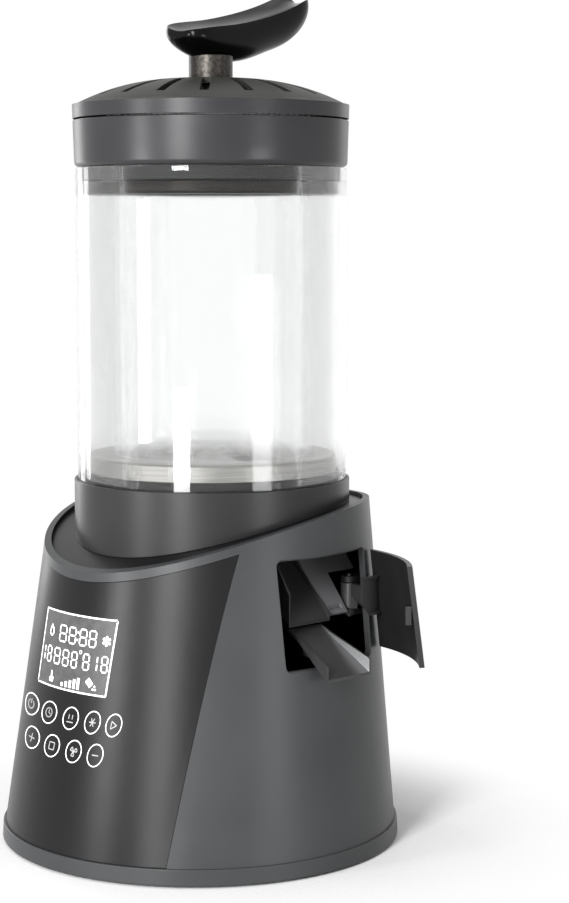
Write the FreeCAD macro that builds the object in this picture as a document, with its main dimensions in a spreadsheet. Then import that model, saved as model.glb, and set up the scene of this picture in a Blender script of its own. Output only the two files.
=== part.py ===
import FreeCAD, Part
import math
import operator
import os
import Sketcher

# Countertop coffee bean roaster with a glass chamber, a lift-off lid and a side discharge door.
# Frame: millimetres, origin on the axis of the glass at table level, -Y is the front with the
# control panel, +X is the discharge side, +Z is up.

doc = FreeCAD.newDocument("CoffeeRoaster")
sheet = doc.addObject("Spreadsheet::Sheet", "Dims")
Vector = FreeCAD.Vector
OPERATORS = {"+": operator.add, "-": operator.sub, "*": operator.mul, "/": operator.truediv}


class Size:
    """A number that remembers the spreadsheet formula it comes from."""

    def __init__(self, value, formula=None):
        self.value = float(value)
        self.formula = formula if formula else repr(float(value))

    def combine(self, other, sign, swapped=False):
        other = as_size(other)
        first, second = (other, self) if swapped else (self, other)
        value = OPERATORS[sign](first.value, second.value)
        return Size(value, f"({first.formula} {sign} {second.formula})")

    def __add__(self, other):
        return self.combine(other, "+")

    def __radd__(self, other):
        return self.combine(other, "+", True)

    def __sub__(self, other):
        return self.combine(other, "-")

    def __rsub__(self, other):
        return self.combine(other, "-", True)

    def __mul__(self, other):
        return self.combine(other, "*")

    def __rmul__(self, other):
        return self.combine(other, "*", True)

    def __truediv__(self, other):
        return self.combine(other, "/")

    def __neg__(self):
        return 0 - self


def as_size(value):
    """The value itself if it is a Size, else the plain number as one."""
    return value if isinstance(value, Size) else Size(value)


def root(size):
    """Square root of a Size."""
    return Size(math.sqrt(size.value), f"sqrt({size.formula})")


def sine(angle):
    """Sine of a Size in degrees."""
    return Size(math.sin(math.radians(angle.value)), f"sin({angle.formula})")


def cosine(angle):
    """Cosine of a Size in degrees."""
    return Size(math.cos(math.radians(angle.value)), f"cos({angle.formula})")


# Driving dimensions, one spreadsheet cell each
ROW = [0]


def dim(name, value):
    """Put one driving dimension in the sheet and return it as a Size."""
    ROW[0] += 1
    sheet.set(f"A{ROW[0]}", name)
    sheet.set(f"B{ROW[0]}", str(value))
    sheet.setAlias(f"B{ROW[0]}", name)
    return Size(value, f"Dims.{name}")


# Clearances
fit_gap = dim("fit_gap", 0.2)
joint_gap = dim("joint_gap", 0.3)
shaft_gap = dim("shaft_gap", 0.05)

# Foot, base ring and floor pan
foot_ring_height = dim("foot_ring_height", 2.2)
foot_ring_proud = dim("foot_ring_proud", 0.8)
foot_ring_width = dim("foot_ring_width", 7.0)
base_ring_top = dim("base_ring_top", 9.0)
base_ring_radius = dim("base_ring_radius", 99.1)
base_ring_flare = dim("base_ring_flare", 0.5)
base_ring_wall = dim("base_ring_wall", 5.2)
pan_thickness = dim("pan_thickness", 2.4)
pan_rim_height = dim("pan_rim_height", 6.0)
pan_rim_wall = dim("pan_rim_wall", 2.0)
pan_slot_count = dim("pan_slot_count", 16)
pan_slot_width = dim("pan_slot_width", 3.6)
pan_slot_inner = dim("pan_slot_inner", 34.0)
pan_slot_length = dim("pan_slot_length", 30.0)
screw_circle = dim("screw_circle", 82.0)
screw_shank = dim("screw_shank", 3.5)
screw_head = dim("screw_head", 7.0)
screw_head_height = dim("screw_head_height", 1.6)
screw_length = dim("screw_length", 18.0)
boss_diameter = dim("boss_diameter", 9.0)
boss_height = dim("boss_height", 8.0)
post_height = dim("post_height", 14.0)
post_rib = dim("post_rib", 11.6)
post_rib_width = dim("post_rib_width", 3.0)

# Leaning cone of the housing
cone_low = dim("cone_low", 9.0)
cone_low_radius = dim("cone_low_radius", 97.9)
cone_low_shift = dim("cone_low_shift", -8.7)
cone_high = dim("cone_high", 178.0)
cone_high_radius = dim("cone_high_radius", 78.75)
cone_high_shift = dim("cone_high_shift", -1.1)
shell_wall = dim("shell_wall", 3.2)
rim_curve_radius = dim("rim_curve_radius", 302.6)
rim_curve_y = dim("rim_curve_y", 43.2)
rim_curve_z = dim("rim_curve_z", -132.6)
vent_slot_count = dim("vent_slot_count", 9)
vent_slot_width = dim("vent_slot_width", 3.2)
vent_slot_height = dim("vent_slot_height", 26.0)
vent_slot_pitch = dim("vent_slot_pitch", 7.5)
vent_slot_low = dim("vent_slot_low", 44.0)

# Ledge and collar
deck_drop = dim("deck_drop", 2.0)
deck_thickness = dim("deck_thickness", 2.6)
deck_hole_radius = dim("deck_hole_radius", 61.5)
collar_top = dim("collar_top", 179.5)
collar_radius = dim("collar_radius", 68.7)
collar_wall = dim("collar_wall", 2.6)
seat_level = dim("seat_level", 176.0)
seat_depth = dim("seat_depth", 2.5)
seat_inner_radius = dim("seat_inner_radius", 56.5)

# Control panel, display and boards
panel_thickness = dim("panel_thickness", 1.5)
panel_low_half = dim("panel_low_half", 59.9)
panel_high_half = dim("panel_high_half", 69.7)
panel_top_drop = dim("panel_top_drop", 3.6)
display_low = dim("display_low", 85.0)
display_high = dim("display_high", 120.5)
display_low_left = dim("display_low_left", -27.6)
display_high_left = dim("display_high_left", -25.6)
display_width = dim("display_width", 51.5)
lens_thickness = dim("lens_thickness", 1.3)
module_margin = dim("module_margin", 3.0)
module_depth = dim("module_depth", 9.0)
touch_low = dim("touch_low", 49.0)
touch_high = dim("touch_high", 80.0)
touch_half = dim("touch_half", 42.0)
touch_thickness = dim("touch_thickness", 1.2)
board_width = dim("board_width", 84.0)
board_height = dim("board_height", 62.0)
board_thickness = dim("board_thickness", 1.6)
board_y = dim("board_y", 65.5)
relay_height = dim("relay_height", 12.0)

# Mains inlet at the rear
inlet_width = dim("inlet_width", 27.0)
inlet_height = dim("inlet_height", 20.0)
inlet_depth = dim("inlet_depth", 20.0)
inlet_face = dim("inlet_face", 89.5)
inlet_boss = dim("inlet_boss", 5.2)
inlet_boss_rim = dim("inlet_boss_rim", 1.4)
inlet_level = dim("inlet_level", 24.0)
inlet_flange_width = dim("inlet_flange_width", 31.5)
inlet_flange_height = dim("inlet_flange_height", 24.5)
inlet_flange = dim("inlet_flange", 2.4)
socket_width = dim("socket_width", 22.0)
socket_height = dim("socket_height", 14.0)
socket_depth = dim("socket_depth", 16.0)
inlet_pin_width = dim("inlet_pin_width", 2.0)
inlet_pin_height = dim("inlet_pin_height", 4.0)
inlet_pin_pitch = dim("inlet_pin_pitch", 7.0)
inlet_pin_length = dim("inlet_pin_length", 10.0)

# Blower
motor_radius = dim("motor_radius", 21.0)
motor_base = dim("motor_base", 9.0)
motor_height = dim("motor_height", 36.0)
motor_shaft = dim("motor_shaft", 5.0)
mount_radius = dim("mount_radius", 27.0)
mount_thickness = dim("mount_thickness", 2.5)
scroll_radius = dim("scroll_radius", 52.0)
scroll_wall = dim("scroll_wall", 2.2)
scroll_height = dim("scroll_height", 27.0)
scroll_mouth_radius = dim("scroll_mouth_radius", 30.0)
impeller_radius = dim("impeller_radius", 42.0)
impeller_height = dim("impeller_height", 17.0)
impeller_plate = dim("impeller_plate", 1.6)
blade_count = dim("blade_count", 12)
blade_thickness = dim("blade_thickness", 1.5)
blade_inner = dim("blade_inner", 22.0)
impeller_run = dim("impeller_run", 2.5)

# Heater and air duct
duct_shift = dim("duct_shift", -9.0)
heater_radius = dim("heater_radius", 30.0)
heater_wall = dim("heater_wall", 1.2)
heater_height = dim("heater_height", 66.0)
coil_radius = dim("coil_radius", 23.0)
coil_wire = dim("coil_wire", 2.0)
coil_low = dim("coil_low", 84.0)
coil_height = dim("coil_height", 44.0)
mica_thickness = dim("mica_thickness", 1.2)
air_duct_radius = dim("air_duct_radius", 27.5)
air_duct_wall = dim("air_duct_wall", 1.6)
cutout_radius = dim("cutout_radius", 8.0)
cutout_thickness = dim("cutout_thickness", 6.0)
cutout_level = dim("cutout_level", 158.0)
probe_diameter = dim("probe_diameter", 4.0)
probe_length = dim("probe_length", 26.0)
probe_level = dim("probe_level", 166.0)

# Glass chamber
glass_diameter = dim("glass_diameter", 134.0)
glass_wall = dim("glass_wall", 2.8)
glass_top = dim("glass_top", 332.8)
gasket_height = dim("gasket_height", 1.0)
inner_glass_radius = dim("inner_glass_radius", 49.0)
inner_glass_wall = dim("inner_glass_wall", 2.2)
inner_glass_top = dim("inner_glass_top", 329.0)
floor_top = dim("floor_top", 191.7)
floor_radius = dim("floor_radius", 61.9)
floor_plate = dim("floor_plate", 2.4)
floor_rim_height = dim("floor_rim_height", 8.2)
floor_rim_wall = dim("floor_rim_wall", 4.5)
seal_radius = dim("seal_radius", 63.4)
air_hole_diameter = dim("air_hole_diameter", 4.2)
air_ring_first = dim("air_ring_first", 9.0)
air_ring_second = dim("air_ring_second", 19.5)

# Discharge gate and tube
port_x = dim("port_x", 33.5)
port_radius = dim("port_radius", 11.0)
tube_foot = dim("tube_foot", 168.0)
tube_wall = dim("tube_wall", 1.6)
gate_level = dim("gate_level", 179.3)
gate_thickness = dim("gate_thickness", 1.4)
gate_run = dim("gate_run", 0.5)
gate_shaft_diameter = dim("gate_shaft_diameter", 4.0)
gate_motor_radius = dim("gate_motor_radius", 8.5)
gate_motor_length = dim("gate_motor_length", 14.0)

# Discharge window, trough and tray
window_low = dim("window_low", 96.4)
window_high = dim("window_high", 148.0)
window_front = dim("window_front", -30.5)
window_rear = dim("window_rear", 30.5)
window_round = dim("window_round", 2.5)
window_chamfer = dim("window_chamfer", 0.8)
trough_y = dim("trough_y", -3.4)
trough_wall = dim("trough_wall", 1.2)
trough_side_height = dim("trough_side_height", 14.0)
trough_top = dim("trough_top", 170.2)
trough_edge_x = dim("trough_edge_x", 72.0)
trough_edge_z = dim("trough_edge_z", 115.9)
trough_back_x = dim("trough_back_x", 19.5)
deflector_foot_x = dim("deflector_foot_x", 70.0)
deflector_foot_z = dim("deflector_foot_z", 116.6)
deflector_top_x = dim("deflector_top_x", 50.5)
deflector_top_z = dim("deflector_top_z", 141.7)
deflector_right = dim("deflector_right", 44.0)
deflector_notch = dim("deflector_notch", 25.4)
deflector_notch_z = dim("deflector_notch_z", 134.6)
deflector_tab = dim("deflector_tab", 5.0)
deflector_thickness = dim("deflector_thickness", 1.5)
tray_kink_x = dim("tray_kink_x", 76.0)
tray_kink_z = dim("tray_kink_z", 108.3)
tray_back_x = dim("tray_back_x", 68.5)
tray_back_z = dim("tray_back_z", 112.8)
tray_lip_x = dim("tray_lip_x", 98.0)
tray_lip_z = dim("tray_lip_z", 92.9)
tray_half = dim("tray_half", 10.2)
tray_lip_half = dim("tray_lip_half", 14.3)
tray_wall = dim("tray_wall", 1.1)
tray_side_low = dim("tray_side_low", 1.2)
tray_side_high = dim("tray_side_high", 6.4)
rail_diameter = dim("rail_diameter", 3.0)
rail_angle = dim("rail_angle", 30.0)
rail_depth = dim("rail_depth", 8.4)
rail_back_x = dim("rail_back_x", 48.0)
rail_front_x = dim("rail_front_x", 76.5)
rail_bracket = dim("rail_bracket", 8.0)
eye_x = dim("eye_x", 72.5)
eye_length = dim("eye_length", 5.0)

# Door, arm and hinge
door_margin = dim("door_margin", 1.6)
door_thickness = dim("door_thickness", 2.6)
door_edge_thickness = dim("door_edge_thickness", 0.9)
door_bevel = dim("door_bevel", 4.0)
door_open_angle = dim("door_open_angle", 60.0)
hinge_x = dim("hinge_x", 65.4)
hinge_y = dim("hinge_y", 31.2)
hinge_pin_diameter = dim("hinge_pin_diameter", 4.0)
hub_radius = dim("hub_radius", 4.3)
arm_low = dim("arm_low", 115.5)
arm_height = dim("arm_height", 19.0)
arm_inner = dim("arm_inner", 13.4)
arm_web = dim("arm_web", 1.6)
arm_flange_reach = dim("arm_flange_reach", 2.8)
arm_flange = dim("arm_flange", 1.2)
arm_leg_angle = dim("arm_leg_angle", 84.0)
arm_leg_width = dim("arm_leg_width", 3.0)
arm_end_angle = dim("arm_end_angle", 30.0)
hub_low = dim("hub_low", 117.5)
hub_height = dim("hub_height", 12.5)
arm_clearance = dim("arm_clearance", 0.8)
lug_thickness = dim("lug_thickness", 3.0)
latch_width = dim("latch_width", 5.0)
latch_height = dim("latch_height", 9.0)
latch_depth = dim("latch_depth", 3.2)
latch_seat = dim("latch_seat", 0.5)

# Lid
lid_base = dim("lid_base", 333.1)
lid_split = dim("lid_split", 356.2)
lid_split_gap = dim("lid_split_gap", 0.8)
lid_rim = dim("lid_rim", 363.4)
lid_low_radius = dim("lid_low_radius", 67.3)
lid_high_radius = dim("lid_high_radius", 68.2)
lid_round = dim("lid_round", 2.6)
lid_wall = dim("lid_wall", 2.6)
lid_floor = dim("lid_floor", 2.4)
dome_top = dim("dome_top", 376.0)
dome_mid_radius = dim("dome_mid_radius", 44.0)
dome_mid_z = dim("dome_mid_z", 372.3)
dome_flat_radius = dim("dome_flat_radius", 14.0)
dome_edge = dim("dome_edge", 1.3)
dome_wall = dim("dome_wall", 2.2)
lid_slot_count = dim("lid_slot_count", 17)
lid_slot_width = dim("lid_slot_width", 4.4)
lid_slot_outer = dim("lid_slot_outer", 58.0)
lid_slot_inner = dim("lid_slot_inner", 30.0)
lid_slot_phase = dim("lid_slot_phase", -46.0)
mesh_level = dim("mesh_level", 360.6)
mesh_thickness = dim("mesh_thickness", 0.8)
plug_radius = dim("plug_radius", 62.6)
plug_bore = dim("plug_bore", 50.4)
plug_low = dim("plug_low", 319.5)
plug_split = dim("plug_split", 325.9)
plug_groove = dim("plug_groove", 0.8)

# Handle
stem_radius = dim("stem_radius", 10.8)
stem_top = dim("stem_top", 387.5)
grip_dish = dim("grip_dish", 2.4)
grip_tilt = dim("grip_tilt", 8.0)
handle_screw_shank = dim("handle_screw_shank", 5.0)
handle_screw_head = dim("handle_screw_head", 9.5)
handle_screw_length = dim("handle_screw_length", 16.0)
trough_half = port_radius + tube_wall + fit_gap
doc.recompute()

SUBPARTS = []


def new_body(name):
    """Start the PartDesign body of one sub-part."""
    body = doc.addObject("PartDesign::Body", name)
    body.Label = name
    return body


def keep(item, name):
    """List an object as a finished sub-part under its own label."""
    item.Label = name
    SUBPARTS.append(item)
    return item


def bind(item, prop, size):
    """Tie a property to the sheet through the size's formula."""
    item.setExpression(prop, as_size(size).formula)


# Sketching: an outline is a list of corners, and a corner may be reached by an arc
def corner(across, up):
    """A corner of an outline reached by a straight line."""
    return (as_size(across), as_size(up), None, True)


def arc_to(across, up, radius, leftward):
    """A corner reached by an arc of the given radius that turns leftward or rightward."""
    return (as_size(across), as_size(up), as_size(radius), leftward)


def box_outline(left, low, right, high):
    """Four corners of an upright rectangle."""
    return [corner(left, low), corner(right, low), corner(right, high), corner(left, high)]


def new_sketch(body, name, plane, lift=None):
    """A sketch on one of the body's own origin planes, lifted along the plane's normal."""
    sketch = body.newObject("Sketcher::SketchObject", name)
    support = [part for part in body.Origin.OriginFeatures if part.Role == plane + "_Plane"][0]
    sketch.AttachmentSupport = [(support, "")]
    sketch.MapMode = "FlatFace"
    if lift is not None:
        bind(sketch, "AttachmentOffset.Base.z", lift)
    return sketch


def arc_geometry(start, end, radius, leftward):
    """The circular arc between two points, with its start and end in drawing order."""
    chord = end - start
    half = chord.Length / 2
    side = Vector(-chord.y, chord.x, 0).normalize()
    reach = math.sqrt(max(radius * radius - half * half, 0.0))
    centre = start + chord / 2 + side * (reach if leftward else -reach)
    circle = Part.Circle(centre, Vector(0, 0, 1), radius)
    first, last = (start, end) if leftward else (end, start)
    begin = math.atan2(first.y - centre.y, first.x - centre.x)
    finish = math.atan2(last.y - centre.y, last.x - centre.x)
    return Part.ArcOfCircle(circle, begin, finish)


def draw(sketch, outline):
    """Add a closed outline whose corners and radii are bound to the sheet."""
    first = sketch.GeometryCount
    points = [Vector(item[0].value, item[1].value, 0) for item in outline]
    constraints = []
    formulas = []
    starts = []
    ends = []
    for index in range(len(outline)):
        following = (index + 1) % len(outline)
        start, end = points[index], points[following]
        radius, leftward = outline[following][2], outline[following][3]
        if radius is None:
            sketch.addGeometry(Part.LineSegment(start, end), False)
            starts.append((first + index, 1))
            ends.append((first + index, 2))
        else:
            sketch.addGeometry(arc_geometry(start, end, radius.value, leftward), False)
            starts.append((first + index, 1 if leftward else 2))
            ends.append((first + index, 2 if leftward else 1))
            constraints.append(Sketcher.Constraint("Radius", first + index, radius.value))
            formulas.append(radius.formula)
    for index, item in enumerate(outline):
        geometry, place = starts[index]
        before = ends[index - 1]
        constraints.append(Sketcher.Constraint("Coincident", before[0], before[1], geometry, place))
        formulas.append(None)
        constraints.append(Sketcher.Constraint("DistanceX", -1, 1, geometry, place, item[0].value))
        formulas.append(item[0].formula)
        constraints.append(Sketcher.Constraint("DistanceY", -1, 1, geometry, place, item[1].value))
        formulas.append(item[1].formula)
    add_bound(sketch, constraints, formulas)


def draw_circle(sketch, across, up, radius):
    """Add a circle whose centre and radius are bound to the sheet."""
    across, up, radius = as_size(across), as_size(up), as_size(radius)
    number = sketch.GeometryCount
    centre = Vector(across.value, up.value, 0)
    sketch.addGeometry(Part.Circle(centre, Vector(0, 0, 1), radius.value), False)
    constraints = [
        Sketcher.Constraint("DistanceX", -1, 1, number, 3, across.value),
        Sketcher.Constraint("DistanceY", -1, 1, number, 3, up.value),
        Sketcher.Constraint("Radius", number, radius.value),
    ]
    add_bound(sketch, constraints, [across.formula, up.formula, radius.formula])


def add_bound(sketch, constraints, formulas):
    """Add constraints and bind each to its formula."""
    offset = sketch.ConstraintCount
    sketch.addConstraint(constraints)
    for index, formula in enumerate(formulas):
        if formula is not None:
            sketch.setExpression(f"Constraints[{offset + index}]", formula)


def outlined(body, name, plane, outlines, lift=None):
    """A sketch with one or more closed outlines."""
    sketch = new_sketch(body, name, plane, lift)
    for outline in outlines:
        draw(sketch, outline)
    return sketch


def circled(body, name, plane, circles, lift=None):
    """A sketch with one or more circles, each given as centre and radius."""
    sketch = new_sketch(body, name, plane, lift)
    for across, up, radius in circles:
        draw_circle(sketch, across, up, radius)
    return sketch


def pad(body, name, sketch, length, back=False, both=False):
    """Extrude a sketch along its normal, against it, or to both sides."""
    feature = body.newObject("PartDesign::Pad", name)
    feature.Profile = sketch
    bind(feature, "Length", length)
    feature.Reversed = back
    if both:
        feature.SideType = "Symmetric"
    return feature


def pocket(body, name, sketch, length=None, along=False, both=False):
    """Cut a sketch through everything, or to a depth against or along its normal."""
    doc.recompute()
    before = body.Tip.Shape.Volume
    feature = body.newObject("PartDesign::Pocket", name)
    feature.Profile = sketch
    if length is None:
        feature.Type = "ThroughAll"
    else:
        bind(feature, "Length", length)
    feature.Reversed = along
    if both:
        feature.SideType = "Symmetric"
    doc.recompute()
    if not 0 < feature.Shape.Volume < before - 1e-6:
        raise ValueError(f"{body.Label}: {name} cuts nothing or everything")
    return feature


def spin(body, name, sketch):
    """Revolve a profile about the vertical axis of its sketch."""
    feature = body.newObject("PartDesign::Revolution", name)
    feature.Profile = sketch
    feature.ReferenceAxis = (sketch, ["V_Axis"])
    feature.Angle = 360
    return feature


def around(body, name, feature, count, axis="Z_Axis"):
    """Repeat a feature evenly around the vertical axis of the body."""
    doc.recompute()
    pattern = body.newObject("PartDesign::PolarPattern", name)
    pattern.Originals = [feature]
    line = [part for part in body.Origin.OriginFeatures if part.Role == axis][0]
    pattern.Axis = (line, [""])
    pattern.Angle = 360
    bind(pattern, "Occurrences", count)
    body.Tip = pattern
    return pattern


def soften(body, name, radius, chooser):
    """Round the edges that the chooser picks."""
    doc.recompute()
    base = body.Tip
    picked = [f"Edge{i + 1}" for i, edge in enumerate(base.Shape.Edges) if chooser(edge)]
    if not picked:
        raise ValueError(f"{body.Label}: {name} finds no edge")
    feature = body.newObject("PartDesign::Fillet", name)
    feature.Base = (base, picked)
    bind(feature, "Radius", radius)
    return feature


def relieve(body, name, size, chooser):
    """Chamfer the edges that the chooser picks, with those that run on smoothly from them."""
    doc.recompute()
    base = body.Tip
    picked = [f"Edge{i + 1}" for i, edge in enumerate(base.Shape.Edges) if chooser(edge)]
    if not picked:
        raise ValueError(f"{body.Label}: {name} finds no edge")
    feature = body.newObject("PartDesign::Chamfer", name)
    feature.Base = (base, picked)
    bind(feature, "Size", size)
    return feature


def ring(name, profile):
    """A sub-part turned about the main axis from one profile of radius and height."""
    body = new_body(name)
    spin(body, name + "_turn", outlined(body, name + "_profile", "XZ", [profile]))
    return body


def tube_profile(inner, outer, low, high):
    """Profile of a plain tube."""
    return box_outline(inner, low, outer, high)


# The leaning cone that the shell, panel, door and ledge all follow
def cone_radius(height):
    """Outer radius of the housing at a height."""
    share = (height - cone_low) / (cone_high - cone_low)
    return cone_low_radius + (cone_high_radius - cone_low_radius) * share


def cone_shift(height):
    """Y of the housing's centre at a height."""
    share = (height - cone_low) / (cone_high - cone_low)
    return cone_low_shift + (cone_high_shift - cone_low_shift) * share


def cone_loft(body, name, kind, inset, low, high):
    """Loft the leaning cone, moved inward by the inset, between two heights."""
    rings = []
    for label, height in (("low", low), ("high", high)):
        circle = (0, cone_shift(height), cone_radius(height) - inset)
        rings.append(circled(body, f"{name}_{label}", "XY", [circle], height))
    loft = body.newObject("PartDesign::" + kind, name)
    loft.Profile = rings[0]
    loft.Sections = [rings[1]]
    loft.Ruled = True
    return loft


def cone_layer(name, outer_inset, inner_inset, low, high):
    """A body that holds the layer of the cone between two insets."""
    body = new_body(name)
    cone_loft(body, name + "_outer", "AdditiveLoft", outer_inset, low, high)
    cone_loft(body, name + "_inner", "SubtractiveLoft", inner_inset, low - 1, high + 1)
    return body


REACH = cone_low_radius * 1.6


def rim_height(across, drop):
    """Height of the curved rim at a Y, lowered square to the curve by the drop."""
    radius = rim_curve_radius - drop
    offset = across - rim_curve_y
    return rim_curve_z + root(radius * radius - offset * offset)


def cut_over_rim(body, name, drop):
    """Cut away what lies above the curved rim."""
    radius = rim_curve_radius - drop
    outline = [
        corner(REACH, rim_height(REACH, drop)),
        corner(REACH, cone_high * 1.5),
        corner(-REACH, cone_high * 1.5),
        corner(-REACH, rim_height(-REACH, drop)),
    ]
    outline[0] = arc_to(REACH, rim_height(REACH, drop), radius, False)
    pocket(body, name, outlined(body, name + "_line", "YZ", [outline]), None, both=True)


def cut_under_rim(body, name, drop):
    """Cut away what lies below the curved rim."""
    radius = rim_curve_radius - drop
    outline = [
        corner(-REACH, 0),
        corner(REACH, 0),
        corner(REACH, rim_height(REACH, drop)),
        arc_to(-REACH, rim_height(-REACH, drop), radius, True),
    ]
    pocket(body, name, outlined(body, name + "_line", "YZ", [outline]), None, both=True)


def panel_half(height):
    """Half width of the control panel at a height."""
    share = (height - cone_low) / (cone_high - cone_low)
    return panel_low_half + (panel_high_half - panel_low_half) * share


def panel_outline(grow):
    """Front view of the control panel, grown by a clearance."""
    low, high = base_ring_top + fit_gap - grow, cone_high
    return [
        corner(-panel_half(low) - grow, low),
        corner(panel_half(low) + grow, low),
        corner(panel_half(high) + grow, high),
        corner(-panel_half(high) - grow, high),
    ]


def display_outline(grow):
    """Front view of the display, which leans a little to one side."""
    return [
        corner(display_low_left - grow, display_low - grow),
        corner(display_low_left + display_width + grow, display_low - grow),
        corner(display_high_left + display_width + grow, display_high + grow),
        corner(display_high_left - grow, display_high + grow),
    ]


def window_outline(grow):
    """Side view of the discharge window, grown by a clearance."""
    return box_outline(
        window_front - grow, window_low - grow, window_rear + grow, window_high + grow
    )


def patch(name, outer_inset, inner_inset, plane, outline, trim=None):
    """A patch of the cone's layer that shows inside an outline, seen square to a plane."""
    layer = cone_layer(name + "_layer", outer_inset, inner_inset, cone_low, cone_high)
    window = new_body(name + "_outline")
    pad(window, name + "_pad", outlined(window, name + "_line", plane, [outline]), REACH)
    if trim is not None:
        trim(window)
    common = doc.addObject("Part::Common", name)
    common.Base = layer
    common.Tool = window
    return common


# Base
def make_foot_ring():
    """Rubber ring that the roaster stands on."""
    outer = base_ring_radius - base_ring_wall - fit_gap
    profile = tube_profile(outer - foot_ring_width, outer, 0, foot_ring_height)
    body = ring("foot_ring", profile)
    bind(body, "Placement.Base.y", cone_low_shift)
    keep(body, "foot_ring")


def make_base_ring():
    """Flared trim ring round the foot of the housing."""
    inner = base_ring_radius - base_ring_wall
    profile = [
        corner(inner, foot_ring_proud),
        corner(base_ring_radius + base_ring_flare - 0.6, foot_ring_proud),
        corner(base_ring_radius + base_ring_flare, foot_ring_proud + 0.6),
        corner(base_ring_radius, base_ring_top),
        corner(inner, base_ring_top),
    ]
    body = ring("base_ring", profile)
    bind(body, "Placement.Base.y", cone_low_shift)
    keep(body, "base_ring")


def make_base_pan():
    """Floor pan with air intake slots, a rim and four screw bosses."""
    outer = base_ring_radius - base_ring_wall - fit_gap
    body = new_body("base_pan")
    profile = [
        corner(0, foot_ring_height),
        corner(outer, foot_ring_height),
        corner(outer, foot_ring_height + pan_rim_height),
        corner(outer - pan_rim_wall, foot_ring_height + pan_rim_height),
        corner(outer - pan_rim_wall, foot_ring_height + pan_thickness),
        corner(0, foot_ring_height + pan_thickness),
    ]
    spin(body, "pan_turn", outlined(body, "pan_profile", "XZ", [profile]))
    boss = circled(body, "boss_circle", "XY", [(screw_circle, 0, boss_diameter / 2)], foot_ring_height)
    around(body, "pan_bosses", pad(body, "boss", boss, boss_height), 4)
    hole = circled(body, "screw_hole_circle", "XY", [(screw_circle, 0, screw_shank / 2 + fit_gap)])
    around(body, "screw_holes", pocket(body, "screw_hole", hole, both=True), 4)
    slot = box_outline(
        pan_slot_inner, -pan_slot_width / 2, pan_slot_inner + pan_slot_length, pan_slot_width / 2
    )
    slots = pocket(body, "intake_slot", outlined(body, "intake_line", "XY", [slot]), both=True)
    around(body, "intake_slots", slots, pan_slot_count)
    bind(body, "Placement.Base.y", cone_low_shift)
    bind(body, "Placement.Rotation.Angle", Size(45.0))
    keep(body, "base_pan")


def make_base_screws():
    """The four screws that hold the pan."""
    body = new_body("screw_master")
    top = foot_ring_height
    head = circled(body, "head_circle", "XY", [(0, 0, screw_head / 2)], top)
    pad(body, "head", head, screw_head_height, back=True)
    shank = circled(body, "shank_circle", "XY", [(0, 0, screw_shank / 2)], top)
    pad(body, "shank", shank, screw_length)
    doc.recompute()
    screws = doc.addObject("Part::Feature", "base_screws")
    pieces = []
    for x, y in post_places():
        piece = body.Shape.copy()
        piece.translate(Vector(x.value, y.value, 0))
        pieces.append(piece)
    screws.Shape = Part.makeCompound(pieces)
    keep(screws, "base_screws")


def post_places():
    """Centres of the four screw posts."""
    reach = screw_circle * cosine(Size(45.0))
    return [(reach * side, cone_low_shift + reach * end) for side in (-1, 1) for end in (-1, 1)]


def add_posts(body):
    """Screw posts inside the shell, each tied to the wall by a rib."""
    level = foot_ring_height + boss_height + fit_gap
    circles = [(x, y, boss_diameter / 2) for x, y in post_places()]
    pad(body, "posts", circled(body, "post_circles", "XY", circles, level), post_height)
    ribs = []
    for number in range(4):
        turn = Size(45.0 + 90.0 * number)
        ribs.append([
            corner(*polar(screw_circle, turn, -post_rib_width / 2)),
            corner(*polar(screw_circle + post_rib, turn, -post_rib_width / 2)),
            corner(*polar(screw_circle + post_rib, turn, post_rib_width / 2)),
            corner(*polar(screw_circle, turn, post_rib_width / 2)),
        ])
    pad(body, "post_ribs", outlined(body, "rib_lines", "XY", ribs, level), post_height)
    holes = [(x, y, screw_shank / 2 + shaft_gap) for x, y in post_places()]
    sketch = circled(body, "post_hole_circles", "XY", holes, level - 1)
    pocket(body, "post_holes", sketch, screw_length, along=True)


def polar(radius, turn, aside):
    """A point at a radius and turn about the middle of the base, moved sideways."""
    across = radius * cosine(turn) - aside * sine(turn)
    return (across, cone_low_shift + radius * sine(turn) + aside * cosine(turn))


def make_body_shell():
    """Leaning conical housing with the curved rim, window, panel recess and rear openings."""
    body = cone_layer("shell_blank", 0, shell_wall, cone_low, cone_high)
    doc.recompute()
    add_posts(body)
    cut_over_rim(body, "shell_rim", 0)
    window = outlined(body, "window_line", "YZ", [window_outline(0)])
    pocket(body, "window", window, REACH, along=True)
    soften(body, "window_corners", window_round, is_window_corner)
    relieve(body, "window_relief", window_chamfer, is_window_edge)
    lens = outlined(body, "lens_line", "XZ", [display_outline(-module_margin)])
    pocket(body, "lens_hole", lens, REACH, along=True)
    surround = inlet_outline(inlet_flange_width, inlet_flange_height, inlet_boss_rim)
    pad(body, "inlet_boss", outlined(body, "inlet_boss_line", "XZ", [surround], -inlet_face),
        inlet_boss)
    inlet = inlet_outline(inlet_width, inlet_height, fit_gap)
    pocket(body, "inlet_hole", outlined(body, "inlet_line", "XZ", [inlet]), REACH)
    slots = []
    half = (vent_slot_count.value - 1) / 2
    for number in range(int(vent_slot_count.value)):
        middle = vent_slot_pitch * (number - half)
        low, high = vent_slot_low, vent_slot_low + vent_slot_height
        slots.append(box_outline(middle - vent_slot_width / 2, low, middle + vent_slot_width / 2, high))
    pocket(body, "rear_vents", outlined(body, "vent_lines", "XZ", slots), REACH)
    recess = patch("panel_recess", -1, panel_thickness, "XZ", panel_outline(fit_gap),
                   lambda tool: cut_over_rim(tool, "recess_top", panel_top_drop))
    cut = doc.addObject("Part::Cut", "body_shell")
    cut.Base = body
    cut.Tool = recess
    keep(cut, "body_shell")


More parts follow.
